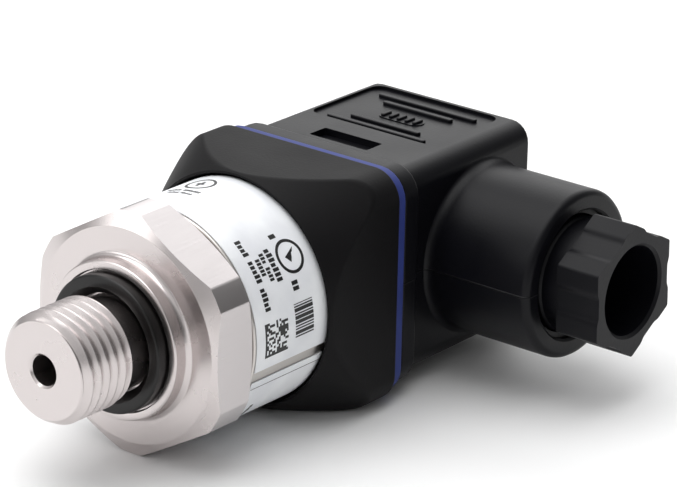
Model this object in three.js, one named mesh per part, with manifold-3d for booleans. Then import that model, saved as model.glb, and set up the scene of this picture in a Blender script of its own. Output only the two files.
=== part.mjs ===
// Pressure switch: threaded process connection with a snap-action mechanism in a round steel case,
// a moulded round-to-square adapter, and a square angular plug with a cable gland on its side.
// Millimetres, +Z up. The device axis is Y and the gland axis is parallel to X.
// Y = 0 is the seat of the seal ring on the process connection: the threaded stud points to -Y.

import * as THREE from 'three';
import { mergeVertices } from 'three/addons/utils/BufferGeometryUtils.js';
import Module from 'manifold-3d';

const wasm = await Module();
wasm.setup();

// ---------------------------------------------------------------- driving dimensions

const ROUND = 36; // facets of a large turned surface
const HIDDEN = 20; // facets of a large turned surface inside the product
const FINE = 16; // facets of a small turned surface
const BORE = 14; // facets of a screw hole
const CORNER_STEPS = 2; // curve segments of a rounded corner

const STUD = { length: 12, threadR: 6.58, endR: 5.76, endChamfer: 0.75, boreR: 1.8, threadEnd: -4.6, reliefR: 5.6 };
const COLLAR = { r: 9.45, front: -0.6, recessR: 8.45, edge: 0.2, fillet: 0.7 };
const SEAL_RING = { r: 8.2, front: -2.1, mouthR: 6.85, throatR: 5.85, throat: -1, edge: 0.2 };
const HEX = { acrossFlats: 27, cornerR: 14.73, front: 1.5, back: 8, faceR: 12.9, chamfer: 0.85 };
const SPIGOT = { r: 12.65, back: 11.5 };
const POCKET = { r: 10, floor: 2.6, chamberR: 6.5, chamberFloor: 1.9 };

const CASE = { r: 13.5, wall: 0.8, front: 8.1, back: 29 };
const LABEL = { clearance: 0.03, thickness: 0.12, front: 9, back: 20.9, gapFrom: -19, gapTo: -13 };

const DIAPHRAGM = { r: 9.8, beadInnerR: 8.3, front: 2.65, beadThickness: 1.2, web: 0.5, padR: 3.8, wave: 0.45 };
const CLAMP = { r: 9.85, front: 3.95, back: 9, recessR: 8.1, recessBack: 5.6, boreR: 3.05 };
const PISTON = { headR: 4.4, head: 3.75, shoulder: 9.6, stemR: 3, tipR: 2.2, tip: 12.6, headThickness: 0.85 };
const SPRING_PLATE = { r: 9, front: 9.65, thickness: 0.9, collarR: 2.95, collarBack: 11.2 };
const SPRING = { r: 3.6, wireR: 0.5, front: 10.6, back: 19.3, turns: 6.5, closedTurns: 1 };
const SPRING_CAP = { r: 4.3, front: 19.4, thickness: 0.9, pilotR: 2.9, pilotFront: 18.4 };
const ADJUSTER = { r: 4, front: 20.35, back: 26.6, pointR: 1.2, socketAcrossFlats: 3, socketDepth: 3 };
const CARRIER = { r: 12.35, wall: 1.35, front: 11.6, plateFront: 21.8, back: 24, bossR: 5.6, bossBack: 26.2 };

const SWITCH = { x0: 4.9, x1: 10.6, halfZ: 6.4, front: 13, split: 18.1, back: 19.5, wall: 0.6 };
const PLUNGER = { z: 1, r: 0.8, flangeR: 1.25, tip: 10.75, flange: 13.7, back: 14.5 };
const BLADE_ARM = { pivotZ: -5, y: 14.75, thickness: 0.25, width: 3, tipZ: 4.6, contactR: 0.6, contactHeight: 0.3 };
const STRIP = { thickness: 0.4, width: 2.2, tail: 22.8, openFoot: 16.75, closedFoot: 13.85, footTipZ: 4.5 };

const ADAPTER = { half: 14.5, cornerR: 3.7, mouth: 20.4, mouthR: 14.35, coneSlope: 0.57, back: 33, edge: 0.5 };
const ADAPTER_BORE = { r: 13.85, lipR: 14.1, slotBack: 29.3, spigotR: 12.35, spigotFront: 24.2, innerR: 10.6, plate: 30 };
const CASE_SEAL = { r: 12.05, sectionR: 0.55, y: 26.8 };
const NUT_INSERT = { r: 2.6, boreR: 1.56, front: 28.1, back: 32.9, housingR: 4.2, housingFront: 28 };

const PIN = { radius: 9, thickness: 0.8, halfWidth: 3.1, tip: 43, tailHalfWidth: 1.2, tail: 26.8, shoulder: 30.2 };
const GASKET = { half: 14.3, cornerR: 3.7, front: 33.05, back: 34.55 };

const PLUG = { halfX: 12.6, halfZ: 13, edgeR: 2.5, front: 34.6, back: 60.9, backEdge: 1.1 };
const FLANGE = { half: 13.8, cornerR: 3.7, back: 37.6, edge: 0.4 };
const CAVITY = { halfX: 11, halfZ: 11.4, cornerR: 1.5, back: 55.8 };
const POST = { r: 3.2, front: 51.6, boreR: 1.75 };
const HEAD_RECESS = { r: 3.45, floor: 57.3 };
const PANEL = { x: -0.8, halfX: 9.6, y0: 46.3, y1: 60, cornerR: 1.6, depth: 0.5 };
const RIB = { halfWidth: 0.38, height: 0.4, x: -0.6, longHalf: 7.5, shortHalf: 5.3, rows: [47.3, 49.15, 55.55, 57.5] };
const BADGE = { y: 52.4, halfX: 3.2, halfY: 1.2 };
const WINDOW = { x: -0.5, halfX: 4.4, y0: 39.8, y1: 42.9, depth: 0.9 };

const GLAND_Y = 51.05;
const BOSS = { r: 10.34, end: 27.4, edge: 0.9, filletR: 1.6, filletLimit: 12.2 };
const GLAND_BORE = { passageR: 4.6, seat: 13.6, r: 7.3, seatBack: 15.2, mouth: 26.3, mouthR: 7.9 };
const GROMMET = { r: 7, holeR: 4, front: 15.5, back: 20 };
const THRUST_WASHER = { r: 7.05, holeR: 5.5, x0: 22.2, x1: 23.2 };
const GLAND_NUT = { shankR: 7.05, shank: 23.4, neckR: 6.85, neck: 27, head: 29.5, end: 35.3, acrossFlats: 14.6 };
const NUT_GRIP = { turn: 2, boreR: 5.5, boreEdge: 0.35, recessHalf: 1.6, recessDepth: 0.3 };

const INSERT = { halfX: 10.8, halfZ: 11.2, cornerR: 1.3, front: 34.75, back: 49.4, centreR: 1.9, wellFloor: 44.9 };
const TERMINAL = { socketFront: 36.1, tongue: 45, tongueBack: 46.2, halfWidth: 3.2, wall: 0.55, screwX: 6, barrelR: 2.35 };
const TERMINAL_CLAMP = { x0: 3.6, x1: 9, halfWidth: 3, front: 47.9, back: 48.7, lip: 0.45 };
const M3 = { r: 1.5, clearanceR: 1.6, headR: 2.75, headHeight: 2, slot: 0.7, slotDepth: 0.9 };
const TERMINAL_SCREW = { front: 42.3, head: 48.8 };
const FIXING_SCREW = { front: 29.5, head: 58.35 };
const SCREW_SEAL = { r: 3.2, boreR: 1.6, front: 57.4, back: 58.25 };

// ---------------------------------------------------------------- solids

const group = new THREE.Group();
const X_FROM_Y = new THREE.Matrix4().makeRotationZ(-Math.PI / 2);
const TO_GLAND = new THREE.Matrix4().makeTranslation(0, GLAND_Y, 0);

function solid(geometry) {
  geometry.deleteAttribute('normal');
  geometry.deleteAttribute('uv');
  const merged = mergeVertices(geometry, 1e-4);
  const corners = merged.index.array;
  const triangles = [];
  for (let i = 0; i < corners.length; i += 3) {
    const [a, b, c] = corners.slice(i, i + 3);
    if (a !== b && b !== c && c !== a) triangles.push(a, b, c);
  }
  const vertProperties = new Float32Array(merged.attributes.position.array);
  return new wasm.Manifold(new wasm.Mesh({ numProp: 3, vertProperties, triVerts: new Uint32Array(triangles) }));
}

function finish(color, roughness, metalness) {
  return new THREE.MeshStandardMaterial({ color, roughness, metalness });
}

function addPiece(name, shape, material) {
  const mesh = shape.getMesh();
  const geometry = new THREE.BufferGeometry();
  geometry.setAttribute('position', new THREE.BufferAttribute(mesh.vertProperties, 3));
  geometry.setIndex(new THREE.BufferAttribute(mesh.triVerts, 1));
  geometry.computeVertexNormals();
  const piece = new THREE.Mesh(geometry, material);
  piece.name = name;
  group.add(piece);
}

// A solid of revolution about Y. The outline runs anticlockwise as [radius, y] points.
function turned(outline, facets = FINE) {
  const points = outline.map(([r, y]) => new THREE.Vector2(r, y));
  if (outline[0][0] > 0) points.push(points[0].clone());
  return solid(new THREE.LatheGeometry(points, facets));
}

// The same about the gland axis, with [radius, x] points.
function turnedOnGland(outline, facets = FINE) {
  const points = outline.map(([r, x]) => new THREE.Vector2(r, x));
  if (outline[0][0] > 0) points.push(points[0].clone());
  const geometry = new THREE.LatheGeometry(points, facets);
  geometry.applyMatrix4(X_FROM_Y).applyMatrix4(TO_GLAND);
  return solid(geometry);
}

function arc(centreR, centreY, radius, fromDegrees, toDegrees, steps = CORNER_STEPS) {
  return Array.from({ length: steps + 1 }, (_, i) => {
    const angle = THREE.MathUtils.degToRad(fromDegrees + ((toDegrees - fromDegrees) * i) / steps);
    return [centreR + radius * Math.cos(angle), centreY + radius * Math.sin(angle)];
  });
}

function rod(radius, y0, y1, facets = FINE) {
  return turned([[0, y0], [radius, y0], [radius, y1], [0, y1]], facets);
}

function tube(innerR, outerR, y0, y1, facets = FINE) {
  return turned([[innerR, y0], [outerR, y0], [outerR, y1], [innerR, y1]], facets);
}

function block(x0, x1, y0, y1, z0, z1) {
  const geometry = new THREE.BoxGeometry(x1 - x0, y1 - y0, z1 - z0);
  geometry.translate((x0 + x1) / 2, (y0 + y1) / 2, (z0 + z1) / 2);
  return solid(geometry);
}

function roundedRectangle(halfWidth, halfHeight, radius) {
  const shape = new THREE.Shape();
  const cornerX = halfWidth - radius;
  const cornerY = halfHeight - radius;
  shape.absarc(cornerX, cornerY, radius, 0, Math.PI / 2);
  shape.absarc(-cornerX, cornerY, radius, Math.PI / 2, Math.PI);
  shape.absarc(-cornerX, -cornerY, radius, Math.PI, Math.PI * 1.5);
  shape.absarc(cornerX, -cornerY, radius, Math.PI * 1.5, Math.PI * 2);
  return shape;
}

function hexagon(acrossFlats, firstCornerDegrees) {
  const cornerR = acrossFlats / 2 / Math.cos(Math.PI / 6);
  const corners = Array.from({ length: 6 }, (_, i) => {
    const angle = THREE.MathUtils.degToRad(firstCornerDegrees + 60 * i);
    return new THREE.Vector2(cornerR * Math.cos(angle), cornerR * Math.sin(angle));
  });
  return new THREE.Shape(corners);
}

// The extrusion settings of a prism whose two end edges are rounded by the radius edge.
function extrusion(length, edge) {
  const fine = edge > 0.3;
  const bevel = { bevelThickness: edge, bevelSize: edge, bevelOffset: -edge, bevelSegments: fine ? 3 : 1 };
  return { depth: length - 2 * edge, curveSegments: CORNER_STEPS, bevelEnabled: edge > 0, ...bevel };
}

// A prism along Y whose outline is drawn in X and Z.
function prismAlongY(shape, y0, y1, edge = 0) {
  const geometry = new THREE.ExtrudeGeometry(shape, extrusion(y1 - y0, edge));
  geometry.rotateX(Math.PI / 2).translate(0, y1 - edge, 0);
  return solid(geometry);
}

// A prism along X whose outline is drawn in Y and Z.
function prismAlongX(shape, x0, x1, edge = 0) {
  const geometry = new THREE.ExtrudeGeometry(shape, extrusion(x1 - x0, edge));
  const axes = [new THREE.Vector3(0, 1, 0), new THREE.Vector3(0, 0, 1), new THREE.Vector3(1, 0, 0)];
  geometry.applyMatrix4(new THREE.Matrix4().makeBasis(...axes)).translate(x0 + edge, 0, 0);
  return solid(geometry);
}

// A prism along Z whose outline is drawn in X and Y.
function prismAlongZ(shape, centreX, centreY, z0, z1, edge = 0) {
  const geometry = new THREE.ExtrudeGeometry(shape, extrusion(z1 - z0, edge));
  geometry.translate(centreX, centreY, z0 + edge);
  return solid(geometry);
}

function aboutAxis(shape, degrees) {
  return shape.rotate([0, degrees, 0]);
}

function wireAlong(points, radius, steps) {
  const section = new THREE.Shape().absarc(0, 0, radius, 0, Math.PI * 2);
  const extrudePath = new THREE.CatmullRomCurve3(points.map((p) => new THREE.Vector3(...p)));
  return solid(new THREE.ExtrudeGeometry(section, { steps, extrudePath, curveSegments: 3, bevelEnabled: false }));
}

// ---------------------------------------------------------------- finishes

const STAINLESS = finish(0xc9c7c2, 0.28, 1);
const SPRING_STEEL = finish(0x8f9194, 0.35, 1);
const BRASS = finish(0xb99a55, 0.35, 1);
const TINNED = finish(0xc4c4bd, 0.4, 1);
const SEAL_RUBBER = finish(0x1d1d1f, 0.7, 0);
const BLUE_GASKET = finish(0x6a83c9, 0.6, 0);
const BLACK_POLYAMIDE = finish(0x3a3a3d, 0.62, 0);
const INNER_PLASTIC = finish(0x2c2d30, 0.55, 0);
const PALE_PLASTIC = finish(0xb9b39f, 0.5, 0);
const RED_PLASTIC = finish(0x9c2f2a, 0.45, 0);
const LABEL_FOIL = finish(0xf1f2f4, 0.4, 0);
const LEAD_COLOURS = [finish(0x7a4a2c, 0.5, 0), finish(0x2f55a0, 0.5, 0), finish(0x1c1c1c, 0.5, 0)];

// ---------------------------------------------------------------- process connection

function processConnection() {
  const { r: collarR, edge, fillet } = COLLAR;
  const body = turned([
    [STUD.boreR, -STUD.length],
    [STUD.endR, -STUD.length],
    [STUD.threadR, -STUD.length + STUD.endChamfer],
    [STUD.threadR, STUD.threadEnd],
    [STUD.reliefR, STUD.threadEnd + STUD.threadR - STUD.reliefR],
    [STUD.reliefR, 0],
    [COLLAR.recessR, 0],
    [COLLAR.recessR, COLLAR.front],
    [collarR - edge, COLLAR.front],
    [collarR, COLLAR.front + edge],
    ...arc(collarR + fillet, HEX.front - fillet, fillet, 180, 90, 2),
    [HEX.faceR, HEX.front],
    [HEX.cornerR, HEX.front + HEX.chamfer],
    [HEX.cornerR, HEX.back - HEX.chamfer],
    [HEX.faceR, HEX.back],
    [SPIGOT.r, HEX.back],
    [SPIGOT.r, SPIGOT.back],
    [POCKET.r, SPIGOT.back],
    [POCKET.r, POCKET.floor],
    [POCKET.chamberR, POCKET.floor],
    [POCKET.chamberR, POCKET.chamberFloor],
    [STUD.boreR, POCKET.chamberFloor],
  ], ROUND);
  const flats = prismAlongY(hexagon(HEX.acrossFlats, 30), -STUD.length - 1, SPIGOT.back + 1);
  return body.intersect(flats);
}

// Profile seal ring: it lies in the collar's recess, stands proud of the collar and has a bevelled mouth.
function portSealRing() {
  const { r, front, mouthR, throatR, throat, edge } = SEAL_RING;
  return turned([
    [throatR, throat],
    [mouthR, front],
    [r - edge, front],
    [r, front + edge],
    [r, 0],
    [throatR, 0],
  ], ROUND);
}

function caseSleeve() {
  return tube(CASE.r - CASE.wall, CASE.r, CASE.front, CASE.back, ROUND);
}

// Foil label: a band round the case that stops short of a full turn.
function nameplateLabel() {
  const innerR = CASE.r + LABEL.clearance;
  const { front, back, thickness, gapFrom, gapTo } = LABEL;
  const band = tube(innerR, innerR + thickness, front, back, ROUND);
  const halfGap = CASE.r * Math.sin(THREE.MathUtils.degToRad((gapTo - gapFrom) / 2));
  const cutter = block(CASE.r - 2, CASE.r + 2, front - 1, back + 1, -halfGap, halfGap);
  return band.subtract(aboutAxis(cutter, -(gapFrom + gapTo) / 2));
}

// ---------------------------------------------------------------- sensing and range mechanism

// Elastomer diaphragm with a clamping bead, one rolling wave and a flat centre pad.
function diaphragm() {
  const mid = DIAPHRAGM.front + DIAPHRAGM.beadThickness / 2;
  const waveStart = DIAPHRAGM.padR + 0.4;
  const waveEnd = DIAPHRAGM.beadInnerR;
  const steps = 4;
  const wave = Array.from({ length: steps + 1 }, (_, i) => {
    const r = waveStart + ((waveEnd - waveStart) * i) / steps;
    return [r, mid + DIAPHRAGM.wave * Math.sin((Math.PI * i) / steps) ** 2];
  });
  const lower = wave.map(([r, y]) => [r, y - DIAPHRAGM.web / 2]);
  const upper = wave.map(([r, y]) => [r, y + DIAPHRAGM.web / 2]).reverse();
  return turned([
    [0, DIAPHRAGM.front + 0.1],
    [DIAPHRAGM.padR, DIAPHRAGM.front + 0.1],
    ...lower,
    [DIAPHRAGM.beadInnerR + 0.2, DIAPHRAGM.front],
    [DIAPHRAGM.r, DIAPHRAGM.front],
    [DIAPHRAGM.r, DIAPHRAGM.front + DIAPHRAGM.beadThickness],
    [DIAPHRAGM.beadInnerR + 0.2, DIAPHRAGM.front + DIAPHRAGM.beadThickness],
    ...upper,
    [DIAPHRAGM.padR, mid + DIAPHRAGM.web / 2 + 0.15],
    [0, mid + DIAPHRAGM.web / 2 + 0.15],
  ]);
}

// Screwed-in brass ring: it clamps the diaphragm's bead and guides the piston in its bore.
function diaphragmClamp() {
  const ring = turned([
    [CLAMP.recessR, CLAMP.front],
    [CLAMP.r, CLAMP.front],
    [CLAMP.r, CLAMP.back],
    [CLAMP.boreR + 0.3, CLAMP.back],
    [CLAMP.boreR, CLAMP.back - 0.3],
    [CLAMP.boreR, CLAMP.recessBack],
    [CLAMP.recessR, CLAMP.recessBack],
  ], HIDDEN);
  const spannerHole = rod(0.9, CLAMP.back - 2, CLAMP.back + 1, 12).translate([6.6, 0, 0]);
  return [0, 180].reduce((shape, turn) => shape.subtract(aboutAxis(spannerHole, turn)), ring);
}

function piston() {
  return turned([
    [0, PISTON.head],
    [PISTON.headR - 0.3, PISTON.head],
    [PISTON.headR, PISTON.head + 0.3],
    [PISTON.headR, PISTON.head + PISTON.headThickness],
    [PISTON.stemR, PISTON.head + PISTON.headThickness],
    [PISTON.stemR, PISTON.shoulder],
    [PISTON.tipR, PISTON.shoulder],
    [PISTON.tipR, PISTON.tip - 0.5],
    [PISTON.tipR - 0.5, PISTON.tip],
    [0, PISTON.tip],
  ]);
}

// Lower spring seat: its rim presses the switch plunger.
function springPlate() {
  const back = SPRING_PLATE.front + SPRING_PLATE.thickness;
  return turned([
    [PISTON.tipR + 0.05, SPRING_PLATE.front],
    [SPRING_PLATE.r - 0.2, SPRING_PLATE.front],
    [SPRING_PLATE.r, SPRING_PLATE.front + 0.2],
    [SPRING_PLATE.r, back],
    [SPRING_PLATE.collarR, back],
    [SPRING_PLATE.collarR - 0.2, SPRING_PLATE.collarBack],
    [PISTON.tipR + 0.05, SPRING_PLATE.collarBack],
  ]);
}

// Compression spring: the end turns close up, the turns between them share the free height.
class SpringCurve extends THREE.Curve {
  getPoint(t, target = new THREE.Vector3()) {
    const { r, wireR, front, back, turns, closedTurns } = SPRING;
    const turn = t * turns;
    const closedRise = 2 * wireR * 1.04;
    const openTurns = turns - 2 * closedTurns;
    const openRise = back - front - 2 * wireR - 2 * closedTurns * closedRise;
    const lowerEnd = Math.min(turn, closedTurns) * closedRise;
    const open = (THREE.MathUtils.clamp(turn - closedTurns, 0, openTurns) / openTurns) * openRise;
    const upperEnd = Math.max(turn - closedTurns - openTurns, 0) * closedRise;
    const angle = 2 * Math.PI * turn;
    return target.set(r * Math.cos(angle), front + wireR + lowerEnd + open + upperEnd, r * Math.sin(angle));
  }
}

function rangeSpring() {
  const section = new THREE.Shape().absarc(0, 0, SPRING.wireR, 0, Math.PI * 2);
  const stepsPerTurn = 10;
  const settings = { steps: SPRING.turns * stepsPerTurn, extrudePath: new SpringCurve(), curveSegments: 3 };
  return solid(new THREE.ExtrudeGeometry(section, { ...settings, bevelEnabled: false }));
}

function springCap() {
  const back = SPRING_CAP.front + SPRING_CAP.thickness;
  return turned([
    [0, SPRING_CAP.pilotFront],
    [SPRING_CAP.pilotR - 0.3, SPRING_CAP.pilotFront],
    [SPRING_CAP.pilotR, SPRING_CAP.pilotFront + 0.3],
    [SPRING_CAP.pilotR, SPRING_CAP.front],
    [SPRING_CAP.r, SPRING_CAP.front],
    [SPRING_CAP.r, back],
    [ADJUSTER.pointR + 0.6, back],
    [0, back - 0.5],
  ]);
}

// Setpoint screw: a cone point bears on the spring cap, a hexagon socket faces the plug.
function adjustingScrew() {
  const body = turned([
    [0, ADJUSTER.front - 0.3],
    [ADJUSTER.pointR, ADJUSTER.front],
    [ADJUSTER.pointR, ADJUSTER.front + 0.5],
    [ADJUSTER.r - 0.4, ADJUSTER.front + 0.7],
    [ADJUSTER.r, ADJUSTER.front + 1.1],
    [ADJUSTER.r, ADJUSTER.back - 0.4],
    [ADJUSTER.r - 0.4, ADJUSTER.back],
    [0, ADJUSTER.back],
  ]);
  const socketShape = hexagon(ADJUSTER.socketAcrossFlats, 0);
  return body.subtract(prismAlongY(socketShape, ADJUSTER.back - ADJUSTER.socketDepth, ADJUSTER.back + 1));
}

// Moulded carrier: skirt, bridge and threaded boss, with a window that holds the snap switch.
function switchCarrier() {
  const innerR = CARRIER.r - CARRIER.wall;
  const shell = turned([
    [innerR, CARRIER.front],
    [CARRIER.r, CARRIER.front],
    [CARRIER.r, CARRIER.back],
    [CARRIER.bossR, CARRIER.back],
    [CARRIER.bossR, CARRIER.bossBack],
    [ADJUSTER.r + 0.1, CARRIER.bossBack],
    [ADJUSTER.r + 0.1, CARRIER.plateFront],
    [innerR, CARRIER.plateFront],
  ], HIDDEN);
  const windowHalf = SWITCH.halfZ + 0.15;
  const window = block(SWITCH.x0 - 1, CARRIER.r + 1, CARRIER.front - 1, SWITCH.back + 0.2, -windowHalf, windowHalf);
  const wireSlot = block(CARRIER.bossR + 0.5, innerR, CARRIER.plateFront - 1, CARRIER.back + 1, -windowHalf, windowHalf);
  const strapNotch = block(-2, 2, CARRIER.plateFront - 2, CARRIER.back + 1, -CARRIER.r - 1, -8.6);
  return shell.subtract(window).subtract(wireSlot).subtract(strapNotch);
}

// ---------------------------------------------------------------- snap-action switch

function switchCover() {
  const { x0, x1, halfZ, front, split, wall } = SWITCH;
  const shell = block(x0, x1, front, split, -halfZ, halfZ);
  const inside = block(x0 + wall, x1 - wall, front + wall, split + 1, wall - halfZ, halfZ - wall);
  const middleX = (x0 + x1) / 2;
  const plungerHole = rod(PLUNGER.r + 0.1, front - 1, front + 2, 20).translate([middleX, 0, PLUNGER.z]);
  return shell.subtract(inside).subtract(plungerHole);
}

// Base block with a slot for each of the three contact strips.
function switchBase() {
  const { x0, x1, halfZ, split, back } = SWITCH;
  const middleX = (x0 + x1) / 2;
  const slotHalf = STRIP.width / 2 + 0.15;
  const plate = block(x0, x1, split + 0.1, back, -halfZ, halfZ);
  return contactStripPlaces().reduce((shape, { z }) => {
    const halfThickness = STRIP.thickness / 2 + 0.15;
    return shape.subtract(
      block(middleX - slotHalf, middleX + slotHalf, split - 1, back + 1, z - halfThickness, z + halfThickness));
  }, plate);
}

function contactStripPlaces() {
  return [
    { name: 'switch_terminal_common', z: -5.45 },
    { name: 'switch_terminal_open', z: 2.6 },
    { name: 'switch_terminal_closed', z: 5.3 },
  ];
}

// Outlines in Z and Y. The common strip ends over the blade's pivot, the open contact's foot is above
// the blade's tip, and the closed contact reaches round the tip to the blade's underside.
function contactStripOutlines() {
  const t = STRIP.thickness;
  const { y, thickness } = BLADE_ARM;
  const { openFoot, closedFoot, footTipZ, tail } = STRIP;
  const [common, open, closed] = contactStripPlaces().map(({ z }) => z - t / 2);
  const pivotTop = y + thickness / 2 + 0.15;
  return [
    [[common, pivotTop], [common + t, pivotTop], [common + t, tail], [common, tail]],
    [[open, openFoot], [footTipZ, openFoot], [footTipZ, openFoot + t], [open + t, openFoot + t],
      [open + t, tail], [open, tail]],
    [[closed + t, closedFoot], [closed + t, tail], [closed, tail], [closed, closedFoot + t],
      [footTipZ - 1.3, closedFoot + t], [footTipZ - 1.3, closedFoot]],
  ];
}

function contactStrip(outline) {
  const shape = new THREE.Shape(outline.map(([z, y]) => new THREE.Vector2(y, z)));
  const middleX = (SWITCH.x0 + SWITCH.x1) / 2;
  return prismAlongX(shape, middleX - STRIP.width / 2, middleX + STRIP.width / 2);
}

// Moving contact: a spring leaf hinged at the common strip, with a contact rivet near its tip.
function snapBlade() {
  const middleX = (SWITCH.x0 + SWITCH.x1) / 2;
  const { pivotZ, y, thickness, width, tipZ, contactR, contactHeight } = BLADE_ARM;
  const leaf = block(middleX - width / 2, middleX + width / 2, y - thickness / 2, y + thickness / 2, pivotZ - 0.4, tipZ);
  const slot = block(middleX - 0.5, middleX + 0.5, y - 1, y + 1, pivotZ + 1.5, pivotZ + 4.5);
  const rivetHalf = thickness / 2 + contactHeight;
  const rivet = rod(contactR, y - rivetHalf, y + rivetHalf, 12).translate([middleX, 0, tipZ - 0.8]);
  return leaf.subtract(slot).add(rivet);
}

function switchPlunger() {
  const stem = turned([
    [0, PLUNGER.tip],
    [PLUNGER.r - 0.3, PLUNGER.tip],
    [PLUNGER.r, PLUNGER.tip + 0.3],
    [PLUNGER.r, PLUNGER.flange],
    [PLUNGER.flangeR, PLUNGER.flange],
    [PLUNGER.flangeR, PLUNGER.flange + 0.4],
    [PLUNGER.r - 0.2, PLUNGER.flange + 0.4],
    [PLUNGER.r - 0.2, PLUNGER.back],
    [0, PLUNGER.back],
  ], 12);
  return stem.translate([(SWITCH.x0 + SWITCH.x1) / 2, 0, PLUNGER.z]);
}

// ---------------------------------------------------------------- adapter and contact pins

function pinSlot(clearance, y0, y1) {
  const halfThickness = PIN.thickness / 2 + clearance;
  const halfWidth = PIN.halfWidth + clearance;
  return block(PIN.radius - halfThickness, PIN.radius + halfThickness, y0, y1, -halfWidth, halfWidth);
}

// Round-to-square moulding: a square prism turned down by a cone, so each side ends in a hyperbola.
function adapterHousing() {
  const { half, cornerR, mouth, mouthR, coneSlope, back, edge } = ADAPTER;
  const bore = ADAPTER_BORE;
  const square = prismAlongY(roundedRectangle(half, half, cornerR), mouth - 3, back, edge);
  const fullR = half * Math.SQRT2;
  const cone = turned([
    [0, mouth],
    [mouthR - 0.1, mouth],
    [mouthR, mouth + 0.1],
    [fullR, mouth + (fullR - mouthR) / coneSlope],
    [fullR, back + 1],
    [0, back + 1],
  ], ROUND);
  const inside = turned([
    [0, mouth - 1],
    [bore.lipR, mouth - 1],
    [bore.lipR, mouth],
    [bore.r, mouth + 0.6],
    [bore.r, bore.slotBack],
    [bore.spigotR, bore.slotBack],
    [bore.spigotR, bore.spigotFront],
    [bore.innerR, bore.spigotFront],
    [bore.innerR, bore.plate],
    [NUT_INSERT.housingR, bore.plate],
    [NUT_INSERT.housingR, NUT_INSERT.housingFront],
    [0, NUT_INSERT.housingFront],
  ], HIDDEN);
  const sealGroove = tube(CASE_SEAL.r - CASE_SEAL.sectionR - 0.05, CASE.r - CASE.wall, CASE_SEAL.y - 0.7,
    CASE_SEAL.y + 0.7, HIDDEN);
  const insertHole = rod(NUT_INSERT.r + 0.05, NUT_INSERT.housingFront - 1, back + 1);
  const open = square.intersect(cone).subtract(inside).subtract(sealGroove).subtract(insertHole);
  const slot = pinSlot(0.1, bore.plate - 1, back + 1);
  return [0, 90, 180, 270].reduce((shape, turn) => shape.subtract(aboutAxis(slot, turn)), open);
}

function caseSeal() {
  const section = arc(CASE_SEAL.r, CASE_SEAL.y, CASE_SEAL.sectionR, -180, 108, 4);
  return turned(section, HIDDEN);
}

function threadedInsert() {
  const { r, boreR, front, back } = NUT_INSERT;
  const middle = (front + back) / 2;
  return turned([
    [boreR, front],
    [r, front],
    [r, middle - 0.5],
    [r - 0.4, middle - 0.5],
    [r - 0.4, middle + 0.5],
    [r, middle + 0.5],
    [r, back],
    [boreR + 0.3, back],
    [boreR, back - 0.3],
  ]);
}

// Flat contact pin: chamfered tip, full-width blade, narrow tail with a hole for the lead.
function contactPin() {
  const { radius, thickness, halfWidth, tip, tailHalfWidth, tail, shoulder } = PIN;
  const outline = [
    [tail, -tailHalfWidth], [shoulder, -tailHalfWidth], [shoulder, -halfWidth], [tip - 1, -halfWidth],
    [tip, 1 - halfWidth], [tip, halfWidth - 1], [tip - 1, halfWidth],
    [shoulder, halfWidth], [shoulder, tailHalfWidth], [tail, tailHalfWidth],
  ];
  const shape = new THREE.Shape(outline.map(([y, z]) => new THREE.Vector2(y, z)));
  const hole = new THREE.Path().absarc(tail + 1.3, 0, 0.6, 0, Math.PI * 2);
  shape.holes.push(hole);
  return prismAlongX(shape, radius - thickness / 2, radius + thickness / 2);
}

// Spring strip that earths the steel case to the earth pin's tail.
function earthStrap() {
  const innerCaseR = CASE.r - CASE.wall;
  const pinFace = PIN.radius + PIN.thickness / 2 + 0.05;
  const t = 0.3;
  const outline = [
    [22.4, pinFace], [28.6, pinFace], [28.6, pinFace + t], [22.4 + t, pinFace + t],
    [22.4 + t, innerCaseR - 0.15], [20.6, innerCaseR - 0.15], [20.6, innerCaseR - 0.15 - t],
    [22.4, innerCaseR - 0.15 - t],
  ];
  const shape = new THREE.Shape(outline.map(([y, z]) => new THREE.Vector2(y, -z)));
  return prismAlongX(shape, -1, 1);
}

function flatGasket() {
  const sheet = prismAlongY(roundedRectangle(GASKET.half, GASKET.half, GASKET.cornerR), GASKET.front, GASKET.back, 0.15);
  const centre = rod(2.3, GASKET.front - 1, GASKET.back + 1);
  const slot = pinSlot(0.3, GASKET.front - 1, GASKET.back + 1);
  return [0, 90, 180, 270].reduce((shape, turn) => shape.subtract(aboutAxis(slot, turn)), sheet.subtract(centre));
}

// ---------------------------------------------------------------- plug housing

function plugShell() {
  const start = PLUG.front - 3;
  const bodyShape = roundedRectangle(PLUG.halfX, PLUG.halfZ, PLUG.edgeR);
  const body = prismAlongY(bodyShape, start, PLUG.back, PLUG.backEdge);
  const room = block(-20, 20, PLUG.front, PLUG.back + 1, -20, 20);
  const flangeShape = roundedRectangle(FLANGE.half, FLANGE.half, FLANGE.cornerR);
  return body.intersect(room).add(prismAlongY(flangeShape, PLUG.front, FLANGE.back, FLANGE.edge));
}

function glandBoss() {
  const barrel = turnedOnGland([
    [0, 5],
    [BOSS.r, 5],
    ...arc(BOSS.r - BOSS.edge, BOSS.end - BOSS.edge, BOSS.edge, 0, 90, 3),
    [0, BOSS.end],
  ], ROUND);
  const root = turnedOnGland([
    [0, 5],
    [BOSS.r + BOSS.filletR, 5],
    ...arc(BOSS.r + BOSS.filletR, PLUG.halfX + BOSS.filletR, BOSS.filletR, -90, -180, 3),
    [0, PLUG.halfX + BOSS.filletR],
  ], ROUND);
  const limit = BOSS.filletLimit;
  const room = block(5, 20, GLAND_Y - limit, PLUG.back - PLUG.backEdge, -limit, limit);
  return barrel.add(root.intersect(room));
}

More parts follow.
